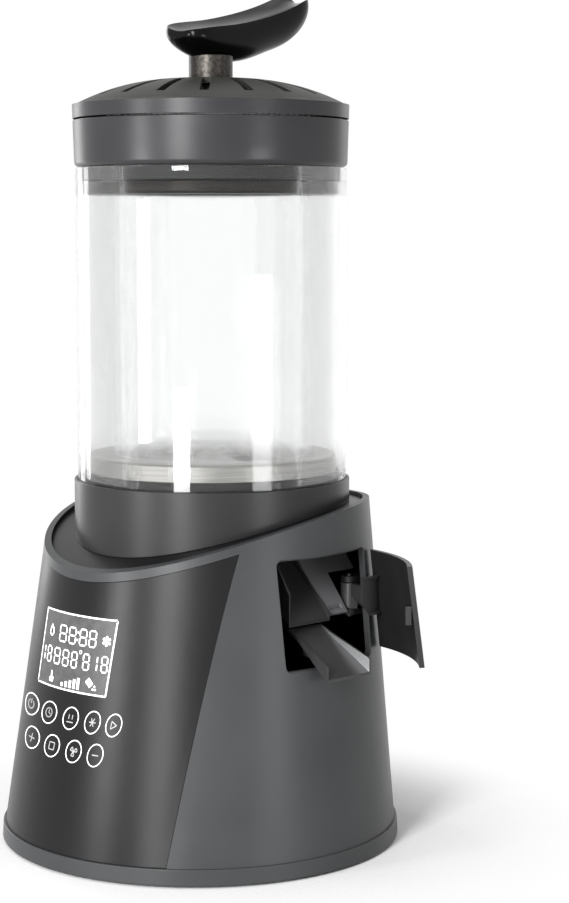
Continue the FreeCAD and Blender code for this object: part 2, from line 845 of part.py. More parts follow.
def inlet_outline(width, height, grow):
    """Rear view of a rectangle about the mains inlet, grown by a clearance."""
    return box_outline(
        -width / 2 - grow,
        inlet_level - height / 2 - grow,
        width / 2 + grow,
        inlet_level + height / 2 + grow,
    )


def is_window_edge(edge):
    """Is the edge the rear edge of the window on the outside of the shell?"""
    middle = edge.valueAt((edge.FirstParameter + edge.LastParameter) / 2)
    level = (window_low.value + window_high.value) / 2
    outer = math.hypot(middle.x, middle.y - cone_shift(Size(middle.z)).value)
    on_skin = abs(outer - cone_radius(Size(middle.z)).value) < 0.2
    return on_skin and abs(middle.y - window_rear.value) < 0.01 and abs(middle.z - level) < 5


def is_window_corner(edge):
    """Is the edge one of the four short corner edges of the discharge window?"""
    start, end = edge.Vertexes[0].Point, edge.Vertexes[-1].Point
    across = abs(start.y - end.y) < 1e-3 and abs(start.z - end.z) < 1e-3
    return across and start.x > 0 and abs(start.x - end.x) > 1


def make_ledge_deck():
    """Sloping ledge between the collar and the rim of the shell."""
    body = new_body("ledge_deck")
    cone_loft(body, "deck_blank", "AdditiveLoft", shell_wall + fit_gap, window_low, cone_high)
    doc.recompute()
    cut_over_rim(body, "deck_top", deck_drop)
    cut_under_rim(body, "deck_bottom", deck_drop + deck_thickness)
    hole = circled(body, "deck_hole_circle", "XY", [(0, 0, deck_hole_radius)])
    pocket(body, "deck_hole", hole, both=True)
    keep(body, "ledge_deck")


def make_collar_ring():
    """Collar that stands on the ledge and holds the glass."""
    inner = collar_radius - collar_wall
    glass_pocket = glass_diameter / 2 + fit_gap
    step = glass_diameter / 2 - glass_wall - fit_gap
    low = seat_level - seat_depth
    profile = [
        corner(seat_inner_radius, low),
        corner(inner, low),
        corner(inner, window_high * 0.9),
        corner(collar_radius, window_high * 0.9),
        corner(collar_radius, collar_top),
        corner(glass_pocket, collar_top),
        corner(glass_pocket, seat_level),
        corner(step, seat_level),
        corner(step, collar_top + fit_gap),
        corner(seat_inner_radius, collar_top + fit_gap),
    ]
    body = ring("collar_ring", profile)
    doc.recompute()
    cut_under_rim(body, "collar_foot", deck_drop - fit_gap / 2)
    keep(body, "collar_ring")


# Controls
def make_control_panel():
    """Smooth touch panel that lies in the recess of the shell."""
    inner = panel_thickness - fit_gap / 2
    keep(patch("control_panel", 0.1, inner, "XZ", panel_outline(0), trim_panel), "control_panel")


def trim_panel(tool):
    """Cut the panel's outline off below the rim and open it for the display."""
    cut_over_rim(tool, "panel_top", panel_top_drop + fit_gap)
    lens = outlined(tool, "panel_lens_line", "XZ", [display_outline(fit_gap / 2)])
    pocket(tool, "panel_lens_hole", lens, REACH, along=True)


def make_display_lens():
    """Clear cover of the display, flush in the panel."""
    keep(patch("display_lens", 0.1, lens_thickness, "XZ", display_outline(0)), "display_lens")


def front_line(height, inset):
    """Y of the front of the cone at a height, moved inward."""
    return cone_shift(height) - cone_radius(height) + inset


def make_display_module():
    """Display block behind the lens, tilted like the front of the housing."""
    body = new_body("display_module")
    margin = module_margin + fit_gap
    low, high = display_low + margin, display_high - margin
    half = display_width / 2 - margin
    sagitta = cone_radius(low) - root(cone_radius(low) * cone_radius(low) - half * half)
    front = sagitta + lens_thickness + fit_gap
    side = [
        corner(front_line(low, front), low),
        corner(front_line(low, front + module_depth), low),
        corner(front_line(high, front + module_depth), high),
        corner(front_line(high, front), high),
    ]
    sketch = outlined(body, "module_side", "YZ", [side])
    pad(body, "module", sketch, display_width - margin * 2 - 2, both=True)
    bind(body, "Placement.Base.x", (display_low_left + display_high_left + display_width) / 2)
    keep(body, "display_module")


def make_touch_board():
    """Flexible sensor board on the inside of the shell behind the buttons."""
    inset = shell_wall + fit_gap
    outline = box_outline(-touch_half, touch_low, touch_half, touch_high)
    keep(patch("touch_board", inset, inset + touch_thickness, "XZ", outline), "touch_board")


def make_main_board():
    """Power board that stands on the floor pan at the rear, with its relay blocks."""
    body = new_body("main_board")
    low = foot_ring_height + pan_thickness
    board = box_outline(-board_width / 2, low, board_width / 2, low + board_height)
    pad(body, "board", outlined(body, "board_line", "XZ", [board], -board_y), board_thickness)
    blocks = []
    for left in (-0.42, -0.1, 0.22):
        start = board_width * left
        blocks.append(box_outline(start, low + 22, start + 16, low + 40))
    pad(body, "relays", outlined(body, "relay_lines", "XZ", blocks, -board_y), relay_height)
    keep(body, "main_board")


def make_power_inlet():
    """Mains inlet socket in the rear wall, with its flange outside."""
    body = new_body("power_inlet")
    face = inlet_face + fit_gap / 4
    block = inlet_outline(inlet_width, inlet_height, 0)
    pad(body, "inlet_block", outlined(body, "inlet_block_line", "XZ", [block], -face), inlet_depth)
    plate = inlet_outline(inlet_flange_width, inlet_flange_height, 0)
    pad(body, "inlet_flange", outlined(body, "flange_line", "XZ", [plate], -face), inlet_flange,
        back=True)
    cavity = inlet_outline(socket_width, socket_height, 0)
    sketch = outlined(body, "cavity_line", "XZ", [cavity], -face - inlet_flange)
    pocket(body, "cavity", sketch, socket_depth, along=True)
    keep(body, "power_inlet")


def make_inlet_pins():
    """The three blades inside the mains inlet."""
    body = new_body("inlet_pins")
    floor = inlet_face + fit_gap / 4 + inlet_flange - socket_depth
    blades = []
    for side in (-1, 0, 1):
        middle = inlet_pin_pitch * side
        level = inlet_level + (2 if side == 0 else -1)
        blades.append(box_outline(
            middle - inlet_pin_width / 2,
            level - inlet_pin_height / 2,
            middle + inlet_pin_width / 2,
            level + inlet_pin_height / 2,
        ))
    sketch = outlined(body, "blade_lines", "XZ", blades, -floor)
    pad(body, "blades", sketch, inlet_pin_length, back=True)
    keep(body, "inlet_pins")


# Blower
def make_blower_motor():
    """Blower motor can with its boss and shaft."""
    top = motor_base + motor_height
    profile = [
        corner(0, motor_base),
        corner(motor_radius - 3, motor_base),
        corner(motor_radius, motor_base + 3),
        corner(motor_radius, top - 3),
        corner(motor_radius - 3, top),
        corner(motor_shaft / 2, top),
        corner(motor_shaft / 2, top + impeller_height),
        corner(0, top + impeller_height),
    ]
    keep(ring("blower_motor", profile), "blower_motor")


def make_blower_mount():
    """Ring that carries the motor on the floor pan."""
    body = new_body("blower_mount")
    low = foot_ring_height + pan_thickness
    cup = motor_radius + fit_gap
    profile = [
        corner(motor_radius * 0.5, low),
        corner(mount_radius, low),
        corner(mount_radius, low + mount_thickness),
        corner(cup + mount_thickness, low + mount_thickness),
        corner(cup + mount_thickness, motor_base + 8),
        corner(cup, motor_base + 8),
        corner(cup, motor_base - fit_gap),
        corner(motor_radius * 0.5, motor_base - fit_gap),
    ]
    spin(body, "mount_turn", outlined(body, "mount_profile", "XZ", [profile]))
    keep(body, "blower_mount")


def make_blower_housing():
    """Round blower casing with an intake hole below and an outlet to the heater above."""
    low = motor_base + motor_height - 1
    high = low + scroll_height
    body = new_body("blower_housing")
    profile = [
        corner(motor_radius + fit_gap, low),
        corner(scroll_radius, low),
        corner(scroll_radius, high),
        corner(0, high),
        corner(0, high - scroll_wall),
        corner(scroll_radius - scroll_wall, high - scroll_wall),
        corner(scroll_radius - scroll_wall, low + scroll_wall),
        corner(motor_radius + fit_gap, low + scroll_wall),
    ]
    spin(body, "housing_turn", outlined(body, "housing_profile", "XZ", [profile]))
    outlet = circled(body, "outlet_circle", "XY", [(duct_shift, 0, heater_radius - heater_wall)],
                     high - scroll_wall - 1)
    pocket(body, "outlet", outlet, scroll_wall + 2, along=True)
    gap = (scroll_mouth_radius - motor_radius) * 0.7
    middle = (motor_radius + scroll_mouth_radius) / 2
    mouth = box_outline(middle - gap / 2 + 1, -motor_radius * 0.3, middle + gap / 2 + 3,
                        motor_radius * 0.3)
    cut = pocket(body, "mouth", outlined(body, "mouth_line", "XY", [mouth], low - 1),
                 scroll_wall + 2, along=True)
    around(body, "mouths", cut, 8)
    keep(body, "blower_housing")


def make_blower_impeller():
    """Backplate with radial blades on the motor shaft."""
    low = motor_base + motor_height - 1 + scroll_wall + impeller_run
    body = new_body("blower_impeller")
    bore = motor_shaft / 2 + shaft_gap
    hub = motor_shaft / 2 + 4
    profile = [
        corner(bore, low),
        corner(impeller_radius, low),
        corner(impeller_radius, low + impeller_plate),
        corner(hub, low + impeller_plate),
        corner(hub, low + impeller_height * 0.7),
        corner(bore, low + impeller_height * 0.7),
    ]
    spin(body, "impeller_turn", outlined(body, "impeller_profile", "XZ", [profile]))
    blade = box_outline(blade_inner, -blade_thickness / 2, impeller_radius - 0.5,
                        blade_thickness / 2)
    sketch = outlined(body, "blade_line", "XY", [blade], low)
    around(body, "blades", pad(body, "blade", sketch, impeller_height), blade_count)
    keep(body, "blower_impeller")


# Heater and air path
def duct_ring(name, inner, outer, low, high):
    """A plain tube on the axis of the air duct."""
    body = ring(name, tube_profile(inner, outer, low, high))
    bind(body, "Placement.Base.x", duct_shift)
    return body


def heater_low():
    """Level of the blower outlet, where the heater case stands."""
    return motor_base + motor_height - 1 + scroll_height + fit_gap / 2


def make_heater_case():
    """Sheet metal tube round the heating element."""
    low = heater_low()
    high = low + heater_height
    body = duct_ring("heater_case", heater_radius - heater_wall, heater_radius, low, high)
    profile = tube_profile(air_duct_radius - air_duct_wall, heater_radius - heater_wall / 2,
                           high - heater_wall, high)
    spin(body, "case_shoulder", outlined(body, "shoulder_profile", "XZ", [profile]))
    keep(body, "heater_case")


def make_heater_frame():
    """Crossed mica boards that carry the heating coil."""
    body = new_body("heater_frame")
    low = heater_low() + heater_wall
    high = coil_low + coil_height + 4
    half = heater_radius - heater_wall - fit_gap
    arm = box_outline(-half, -mica_thickness / 2, half, mica_thickness / 2)
    pad(body, "mica_a", outlined(body, "mica_a_line", "XY", [arm], low), high - low)
    other = box_outline(-mica_thickness / 2, -half, mica_thickness / 2, half)
    pad(body, "mica_b", outlined(body, "mica_b_line", "XY", [other], low), high - low)
    groove = tube_profile(coil_radius - coil_wire / 2 - fit_gap, coil_radius + coil_wire / 2 + fit_gap,
                          coil_low - fit_gap, coil_low + coil_height + fit_gap)
    sketch = outlined(body, "coil_seat_profile", "XZ", [groove])
    feature = body.newObject("PartDesign::Groove", "coil_seat")
    feature.Profile = sketch
    feature.ReferenceAxis = (sketch, ["V_Axis"])
    feature.Angle = 360
    bind(body, "Placement.Base.x", duct_shift)
    keep(body, "heater_frame")


def make_heater_coil():
    """Heating winding, held in the notches of the mica boards."""
    body = duct_ring("heater_coil", coil_radius - coil_wire / 2, coil_radius + coil_wire / 2,
                     coil_low, coil_low + coil_height)
    keep(body, "heater_coil")


def make_air_duct():
    """Duct that leads the hot air from the heater case to the chamber floor."""
    low = heater_low() + heater_height + fit_gap / 2
    high = floor_top - floor_plate - fit_gap / 2
    body = duct_ring("air_duct", air_duct_radius - air_duct_wall, air_duct_radius, low, high)
    hole = circled(body, "probe_hole_circle", "YZ", [(0, probe_level, probe_diameter / 2 + shaft_gap)])
    pocket(body, "probe_hole", hole, REACH)
    keep(body, "air_duct")


def make_thermal_cutout():
    """Thermal cutout that lies against the air duct."""
    body = new_body("thermal_cutout")
    seat = circled(body, "cutout_circle", "XZ", [(0, cutout_level, cutout_radius)],
                   air_duct_radius + fit_gap / 2)
    pad(body, "cutout", seat, cutout_thickness)
    bind(body, "Placement.Base.x", duct_shift)
    keep(body, "thermal_cutout")


def make_temperature_probe():
    """Probe pushed through the wall of the air duct."""
    body = new_body("temperature_probe")
    start = -(duct_shift - air_duct_radius + 12)
    rod = circled(body, "probe_circle", "YZ", [(0, probe_level, probe_diameter / 2)], -start)
    pad(body, "probe", rod, probe_length, back=True)
    keep(body, "temperature_probe")


# Glass chamber
def make_glass():
    """Outer glass, inner roasting glass and the gasket under the outer one."""
    outer = glass_diameter / 2
    low = seat_level + gasket_height
    body = ring("outer_glass", tube_profile(outer - glass_wall, outer, low, glass_top))
    keep(body, "outer_glass")
    body = ring("glass_gasket", tube_profile(outer - glass_wall, outer, seat_level, low - 0.05))
    keep(body, "glass_gasket")
    inner = inner_glass_radius
    body = ring("inner_glass", tube_profile(inner - inner_glass_wall, inner, floor_top + 0.05,
                                            inner_glass_top))
    keep(body, "inner_glass")


def make_chamber_floor():
    """Cast floor disc with air holes and the discharge port."""
    body = new_body("chamber_floor")
    low = floor_top - floor_rim_height
    profile = [
        corner(0, floor_top - floor_plate),
        corner(floor_radius - floor_rim_wall, floor_top - floor_plate),
        corner(floor_radius - floor_rim_wall, low),
        corner(floor_radius, low),
        corner(floor_radius, floor_top - 0.8),
        corner(floor_radius - 0.8, floor_top),
        corner(0, floor_top),
    ]
    spin(body, "floor_turn", outlined(body, "floor_profile", "XZ", [profile]))
    holes = [(duct_shift, 0, air_hole_diameter / 2)]
    for radius, count in ((air_ring_first, 6), (air_ring_second, 14)):
        for number in range(count):
            turn = Size(360.0 / count * number)
            place = (duct_shift + radius * cosine(turn), radius * sine(turn), air_hole_diameter / 2)
            holes.append(place)
    pocket(body, "air_holes", circled(body, "air_hole_circles", "XY", holes), both=True)
    port = circled(body, "port_circle", "XY", [(port_x, trough_y, port_radius)])
    pocket(body, "port", port, both=True)
    keep(body, "chamber_floor")
    seal = tube_profile(seat_inner_radius + 0.5, seal_radius, collar_top + fit_gap + 0.05,
                        low - 0.05)
    keep(ring("floor_seal", seal), "floor_seal")


# Discharge gate
def make_discharge_tube():
    """Short tube under the floor port that ends inside the top of the trough."""
    body = new_body("discharge_tube")
    high = floor_top - floor_plate - fit_gap / 2
    outer = port_radius + tube_wall
    circle = circled(body, "tube_circle", "XY", [(port_x, trough_y, outer)], tube_foot)
    pad(body, "tube", circle, high - tube_foot)
    bore = circled(body, "tube_bore_circle", "XY", [(port_x, trough_y, port_radius)])
    pocket(body, "tube_bore", bore, both=True)
    shaft = circled(body, "shaft_hole_circle", "XZ", [
        (port_x, gate_level, gate_shaft_diameter / 2 + shaft_gap)])
    pocket(body, "shaft_hole", shaft, both=True)
    keep(body, "discharge_tube")


def make_gate_flap():
    """Round flap that closes the discharge tube."""
    body = new_body("gate_flap")
    radius = port_radius - gate_run
    plate = circled(body, "flap_circle", "XY", [(port_x, trough_y, radius)],
                    gate_level - gate_thickness / 2)
    pad(body, "flap_plate", plate, gate_thickness)
    eye = circled(body, "eye_circle", "XZ", [(port_x, gate_level, gate_shaft_diameter / 2 + 1.2)],
                  -trough_y)
    pad(body, "eye", eye, radius, both=True)
    bore = circled(body, "eye_bore_circle", "XZ", [
        (port_x, gate_level, gate_shaft_diameter / 2 + 0.02)])
    pocket(body, "eye_bore", bore, both=True)
    keep(body, "gate_flap")


def make_gate_drive():
    """Cross shaft of the gate and the small gear motor that turns it."""
    shaft = new_body("gate_shaft")
    front = port_radius + tube_wall + 2 - trough_y
    rod = circled(shaft, "rod_circle", "XZ", [(port_x, gate_level, gate_shaft_diameter / 2)], front)
    pad(shaft, "rod", rod, (port_radius + tube_wall) * 2 + 9, back=True)
    keep(shaft, "gate_shaft")
    motor = new_body("gate_motor")
    start = trough_y + port_radius + tube_wall + fit_gap
    can = circled(motor, "can_circle", "XZ", [(port_x, gate_level, gate_motor_radius)], -start)
    pad(motor, "can", can, gate_motor_length, back=True)
    hole = circled(motor, "motor_bore_circle", "XZ", [
        (port_x, gate_level, gate_shaft_diameter / 2 + shaft_gap)], -start)
    pocket(motor, "motor_bore", hole, 9)
    keep(motor, "gate_motor")


# Discharge trough, deflector and tray
def make_discharge_trough():
    """Sloping trough from the tube to the window, with upright sides."""
    body = new_body("discharge_trough")
    under = trough_wall * root(Size(2.0))
    back_z = trough_edge_x + trough_edge_z - trough_back_x
    side = [
        corner(trough_edge_x, trough_edge_z),
        corner(trough_edge_x, trough_edge_z + trough_side_height),
        corner(port_x + trough_half + trough_wall, trough_top),
        corner(trough_back_x, trough_top),
        corner(trough_back_x, back_z - under),
        corner(trough_edge_x, trough_edge_z - under),
    ]
    half = trough_half + trough_wall
    pad(body, "trough", outlined(body, "trough_side", "XZ", [side], -trough_y), half * 2, both=True)
    inside = [
        corner(trough_edge_x + 1, trough_edge_z - 1),
        corner(trough_edge_x + 1, trough_top + 1),
        corner(trough_back_x + trough_wall, trough_top + 1),
        corner(trough_back_x + trough_wall, back_z - trough_wall),
    ]
    pocket(body, "trough_inside", outlined(body, "inside_line", "XZ", [inside], -trough_y),
           trough_half * 2, both=True)
    keep(body, "discharge_trough")


def make_deflector():
    """Sloping guard that keeps the beans off the door hinge."""
    body = new_body("deflector_plate")
    left = trough_y + trough_half + trough_wall + fit_gap / 2
    run = deflector_foot_x - deflector_top_x
    rise = deflector_top_z - deflector_foot_z
    drop = deflector_thickness * root(run * run + rise * rise) / run
    side = [
        corner(deflector_foot_x, deflector_foot_z),
        corner(deflector_top_x, deflector_top_z),
        corner(deflector_top_x, deflector_top_z - drop),
        corner(deflector_foot_x, deflector_foot_z - drop),
    ]
    width = deflector_right - left
    pad(body, "plate", outlined(body, "plate_side", "XZ", [side], -left), width, back=True)
    notch = box_outline(deflector_notch, deflector_foot_z - 10, REACH, deflector_notch_z)
    pocket(body, "hinge_notch", outlined(body, "notch_line", "YZ", [notch]), both=True)
    tab = [
        corner(deflector_foot_x, deflector_foot_z),
        corner(deflector_foot_x - 1, deflector_foot_z - deflector_tab),
        corner(deflector_foot_x - 1 - deflector_thickness, deflector_foot_z - deflector_tab),
        corner(deflector_foot_x - deflector_thickness, deflector_foot_z),
    ]
    pad(body, "tab", outlined(body, "tab_side", "XZ", [tab], -(deflector_notch - deflector_tab)),
        deflector_tab)
    flange = [
        corner(deflector_foot_x, deflector_foot_z),
        corner(deflector_foot_x - 5, deflector_foot_z - drop - 4),
        corner(deflector_top_x - 5, deflector_top_z - drop - 4),
        corner(deflector_top_x, deflector_top_z),
    ]
    pad(body, "flange", outlined(body, "flange_side", "XZ", [flange], -left), trough_wall, back=True)
    keep(body, "deflector_plate")


def tray_slope():
    """Fall of the tray floor per millimetre outward."""
    return (tray_kink_z - tray_lip_z) / (tray_lip_x - tray_kink_x)


def rail_height(across):
    """Height of the rail's axis at an X."""
    fall = sine(rail_angle) / cosine(rail_angle)
    return tray_kink_z - rail_depth + (tray_kink_x - across) * fall


def rail_cylinder(name, radius, start_x, end_x):
    """A round bar or bore along the rail."""
    bar = doc.addObject("Part::Cylinder", name)
    bind(bar, "Radius", radius)
    bind(bar, "Height", (end_x - start_x) / cosine(rail_angle))
    bar.Placement.Rotation = FreeCAD.Rotation(Vector(0, 1, 0), 90)
    bind(bar, "Placement.Rotation.Angle", rail_angle + 90)
    bind(bar, "Placement.Base.x", start_x)
    bind(bar, "Placement.Base.y", trough_y)
    bind(bar, "Placement.Base.z", rail_height(start_x))
    return bar


def flare(body, word, extra):
    """Trim a tray body to the plan that widens toward the lip."""
    for side in (-1, 1):
        end = "front" if side < 0 else "rear"
        near = trough_y + (tray_half + extra) * side
        far = trough_y + (tray_lip_half + extra) * side
        edge = trough_y + (tray_lip_half + 10) * side
        plan = [
            corner(rail_back_x, near),
            corner(tray_kink_x, near),
            corner(tray_lip_x + 2, far),
            corner(tray_lip_x + 2, edge),
            corner(rail_back_x, edge),
        ]
        sketch = outlined(body, f"{word}_{end}_line", "XY", [plan])
        pocket(body, f"{word}_{end}", sketch, both=True)


def make_tray():
    """Tray that carries the beans out over the sill, with flared sides and a guide eye."""
    blank = new_body("tray_blank")
    under = tray_wall * root(1 + tray_slope() * tray_slope())
    side = [
        corner(tray_back_x, tray_back_z),
        corner(tray_back_x, tray_back_z - under),
        corner(tray_kink_x, tray_kink_z - under),
        corner(tray_lip_x, tray_lip_z - under),
        corner(tray_lip_x, tray_lip_z + tray_side_high),
        corner(tray_kink_x, tray_kink_z + tray_side_low),
    ]
    width = (tray_lip_half + tray_wall) * 2 + 4
    pad(blank, "tray", outlined(blank, "tray_side", "XZ", [side], -trough_y), width, both=True)
    doc.recompute()
    flare(blank, "outer", tray_wall)
    low = rail_height(eye_x) - rail_diameter
    eye = [
        corner(eye_x - eye_length / 2, low),
        corner(eye_x + eye_length / 2, low),
        corner(eye_x + eye_length / 2, tray_kink_z),
        corner(eye_x - eye_length / 2, tray_kink_z + 1),
    ]
    pad(blank, "eye", outlined(blank, "eye_side", "XZ", [eye], -trough_y), rail_diameter * 2, both=True)
    hollow = new_body("tray_hollow")
    inside = [
        corner(tray_back_x - 1, tray_back_z),
        corner(tray_kink_x, tray_kink_z),
        corner(tray_lip_x + 1, tray_lip_z - tray_slope()),
        corner(tray_lip_x + 1, tray_lip_z + 40),
        corner(tray_back_x - 1, tray_lip_z + 40),
    ]
    inside[0] = corner(tray_back_x - 1, tray_back_z + (tray_back_z - tray_kink_z)
                       / (tray_kink_x - tray_back_x))
    pad(hollow, "hollow", outlined(hollow, "hollow_side", "XZ", [inside], -trough_y), width, both=True)
    doc.recompute()
    flare(hollow, "inner", 0)
    open_tray = doc.addObject("Part::Cut", "open_tray")
    open_tray.Base = blank
    open_tray.Tool = hollow
    tray = doc.addObject("Part::Cut", "chute_tray")
    tray.Base = open_tray
    tray.Tool = rail_cylinder("eye_bore", rail_diameter / 2 + shaft_gap, rail_back_x, tray_lip_x)
    keep(tray, "chute_tray")


def make_tray_rail():
    """Guide rod of the tray with the bracket that hangs under the trough."""
    bracket = new_body("rail_bracket_body")
    low = rail_height(rail_back_x) - rail_diameter * 1.5
    under = trough_wall * root(Size(2.0)) + fit_gap / 2
    side = [
        corner(rail_back_x, low),
        corner(rail_back_x + rail_diameter, low),
        corner(rail_back_x + rail_diameter,
               trough_edge_x + trough_edge_z - under - rail_back_x - rail_diameter),
        corner(rail_back_x, trough_edge_x + trough_edge_z - under - rail_back_x),
    ]
    pad(bracket, "bracket_plate_pad", outlined(bracket, "rail_bracket_side", "XZ", [side], -trough_y),
        rail_bracket, both=True)
    rail = doc.addObject("Part::Fuse", "tray_rail")
    rail.Base = bracket
    rail.Tool = rail_cylinder("rail_rod", rail_diameter / 2, rail_back_x + 1, rail_front_x)
    keep(rail, "tray_rail")


# Door
def make_door():
    """Curved door panel, made in its closed place and turned to its open place."""
    outline = window_outline(-door_margin)
    door = patch("door_panel", 0, door_thickness, "YZ", outline, bevel_rear_edge)
    swing(door)
    keep(door, "door_panel")


def bevel_rear_edge(tool):
    """Thin the door toward its hinge side, so that the edge swings clear of the shell."""
    rear = window_rear - door_margin
    sketches = []
    for word, level in (("low", window_low - 1), ("high", window_high + 1)):
        edge_x = root(square(cone_radius(level)) - square(rear - cone_shift(level)))
        bevel = [
            corner(edge_x - door_edge_thickness, rear + 1),
            corner(edge_x - door_edge_thickness, rear),
            corner(edge_x - door_thickness * 0.75, rear - door_bevel),
            corner(1, rear - door_bevel),
            corner(1, rear + 1),
        ]
        sketches.append(outlined(tool, f"bevel_{word}", "XY", [bevel], level))
    cut = tool.newObject("PartDesign::SubtractiveLoft", "rear_bevel")
    cut.Profile = sketches[0]
    cut.Sections = [sketches[1]]
    cut.Ruled = True


def square(size):
    """Square of a Size."""
    return size * size


def swing(item):
    """Turn a door piece about the hinge from its closed place to its open place."""
    turn = door_open_angle
    bind(item, "Placement.Rotation.Angle", turn)
    bind(item, "Placement.Base.x", hinge_x - hinge_x * cosine(turn) + hinge_y * sine(turn))
    bind(item, "Placement.Base.y", hinge_y - hinge_x * sine(turn) - hinge_y * cosine(turn))


def hinge_point(radius, angle):
    """A point at a radius from the hinge, the angle measured from outward toward the front."""
    return (hinge_x + radius * cosine(angle), hinge_y - radius * sine(angle))


def arc_band(inner, outer, first, last):
    """Outline of a band about the hinge between two radii and two angles."""
    return [
        corner(*hinge_point(outer, first)),
        arc_to(*hinge_point(outer, last), outer, True),
        corner(*hinge_point(inner, last)),
        arc_to(*hinge_point(inner, first), inner, False),
    ]


def make_door_arm():
    """Channel-shaped gooseneck arm that reaches round the window's edge to the door."""
    body = new_body("arm_blank")
    outer = arm_inner + arm_web
    web = arc_band(arm_inner, outer, arm_leg_angle, arm_end_angle)
    pad(body, "web", outlined(body, "web_line", "XY", [web], arm_low), arm_height)
    flange = arc_band(arm_inner, arm_inner + arm_flange_reach, arm_leg_angle, arm_end_angle)
    for word, level in (("low", arm_low), ("high", arm_low + arm_height - arm_flange)):
        sketch = outlined(body, word + "_flange_line", "XY", [flange], level)
        pad(body, word + "_flange", sketch, arm_flange)
    leg_end = arm_leg_angle - 11.5
    leg = [
        hinge_point(hub_radius * 0.8, arm_leg_angle + 20),
        hinge_point(outer, arm_leg_angle),
        hinge_point(outer, leg_end),
        hinge_point(hub_radius * 0.8, arm_leg_angle - 32),
    ]
    sketch = outlined(body, "leg_line", "XY", [[corner(*point) for point in leg]], hub_low)
    pad(body, "leg", sketch, hub_height)
    hub = circled(body, "hub_circle", "XY", [(hinge_x, hinge_y, hub_radius)], hub_low)
    pad(body, "hub", hub, hub_height)
    bore = circled(body, "hub_bore_circle", "XY", [
        (hinge_x, hinge_y, hinge_pin_diameter / 2 + shaft_gap)])
    pocket(body, "hub_bore", bore, both=True)
    clear = arm_clearance
    slope = (deflector_foot_x - deflector_top_x) / (deflector_top_z - deflector_foot_z)
    low = deflector_foot_z - 10
    behind = [
        corner(deflector_foot_x + clear + slope * 10, low),
        corner(deflector_top_x + clear, deflector_top_z),
        corner(0, deflector_top_z),
        corner(0, low),
    ]
    front = hinge_y - hub_radius - clear
    sketch = outlined(body, "behind_line", "XZ", [behind], -front)
    pocket(body, "plate_clearance", sketch, REACH, along=True)
    core = new_body("door_core")
    cone_loft(core, "door_core_loft", "AdditiveLoft", door_thickness + shaft_gap, cone_low, cone_high)
    arm = doc.addObject("Part::Common", "door_arm")
    arm.Base = body
    arm.Tool = core
    swing(arm)
    keep(arm, "door_arm")


def make_hinge():
    """Pin and bracket of the door hinge, inside the shell behind the window."""
    pin = new_body("hinge_pin")
    low = hub_low - joint_gap - lug_thickness - 1
    high = hub_low + hub_height + joint_gap + lug_thickness + 1
    rod = circled(pin, "pin_circle", "XY", [(hinge_x, hinge_y, hinge_pin_diameter / 2)], low)
    pad(pin, "pin", rod, high - low)
    keep(pin, "hinge_pin")
    body = new_body("bracket_blank")
    back = hinge_y + hub_radius + 4
    left, right = hinge_x - hub_radius, hinge_x + hub_radius * 3
    plate = box_outline(left, back, right, back + lug_thickness)
    sketch = outlined(body, "bracket_plate", "XY", [plate], low + 1)
    pad(body, "bracket", sketch, high - low - 2)
    for word, level in (("low", low + 1), ("high", high - 1 - lug_thickness)):
        lug = [
            corner(hinge_x - hub_radius, hinge_y),
            arc_to(hinge_x + hub_radius, hinge_y, hub_radius, True),
            corner(hinge_x + hub_radius, back + lug_thickness),
            corner(left, back + lug_thickness),
        ]
        lug_sketch = outlined(body, word + "_lug_line", "XY", [lug], level)
        pad(body, word + "_lug", lug_sketch, lug_thickness)
    bore = circled(body, "lug_bore_circle", "XY", [
        (hinge_x, hinge_y, hinge_pin_diameter / 2 + 0.02)])
    pocket(body, "lug_bore", bore, both=True)
    core = new_body("shell_core")
    cone_loft(core, "core", "AdditiveLoft", shell_wall + fit_gap / 2, cone_low, cone_high)
    bracket = doc.addObject("Part::Common", "hinge_bracket")
    bracket.Base = body
    bracket.Tool = core
    keep(bracket, "hinge_bracket")


def make_door_latch():
    """Small catch on the inner face of the door near its free edge."""
    body = new_body("door_latch")
    level = (window_low + window_high) / 2
    near = window_front + door_margin + 4
    face = root(square(cone_radius(level) - door_thickness) - square(near - cone_shift(level)))
    catch = [
        corner(face - latch_depth, near + 1.2),
        corner(face - latch_seat, near),
        corner(face - latch_seat, near + latch_width),
        corner(face - latch_depth, near + latch_width - 1.2),
    ]
    sketch = outlined(body, "latch_line", "XY", [catch], level - latch_height / 2)
    pad(body, "latch", sketch, latch_height)
    swing(body)
    keep(body, "door_latch")


# Lid
def lid_radius(height):
    """Outer radius of the lid at a height."""
    share = (height - lid_base) / (lid_rim - lid_base)
    return lid_low_radius + (lid_high_radius - lid_low_radius) * share


def make_lid_ring():
    """Lower band of the lid with the floor that the plug hangs from."""
    top = lid_split - lid_split_gap / 2
    inner = lid_low_radius - lid_wall
    profile = [
        corner(plug_bore, lid_base),
        corner(lid_low_radius - lid_round, lid_base),
        arc_to(lid_radius(lid_base + lid_round), lid_base + lid_round, lid_round, True),
        corner(lid_radius(top), top),
        corner(inner, top),
        corner(inner, lid_base + lid_floor),
        corner(plug_bore, lid_base + lid_floor),
    ]
    keep(ring("lid_ring", profile), "lid_ring")


def dome_arc_radius(drop):
    """Radius of the arc through the dome's edge, middle and top."""
    edge = (lid_high_radius - dome_edge, lid_rim)
    middle = (dome_mid_radius, dome_mid_z)
    top = (dome_flat_radius, dome_top)
    first = root(square(edge[0] - middle[0]) + square(edge[1] - middle[1]))
    second = root(square(middle[0] - top[0]) + square(middle[1] - top[1]))
    third = root(square(edge[0] - top[0]) + square(edge[1] - top[1]))
    twice = (edge[0] - top[0]) * (middle[1] - top[1]) - (middle[0] - top[0]) * (edge[1] - top[1])
    return first * second * third / (twice * 2) - drop


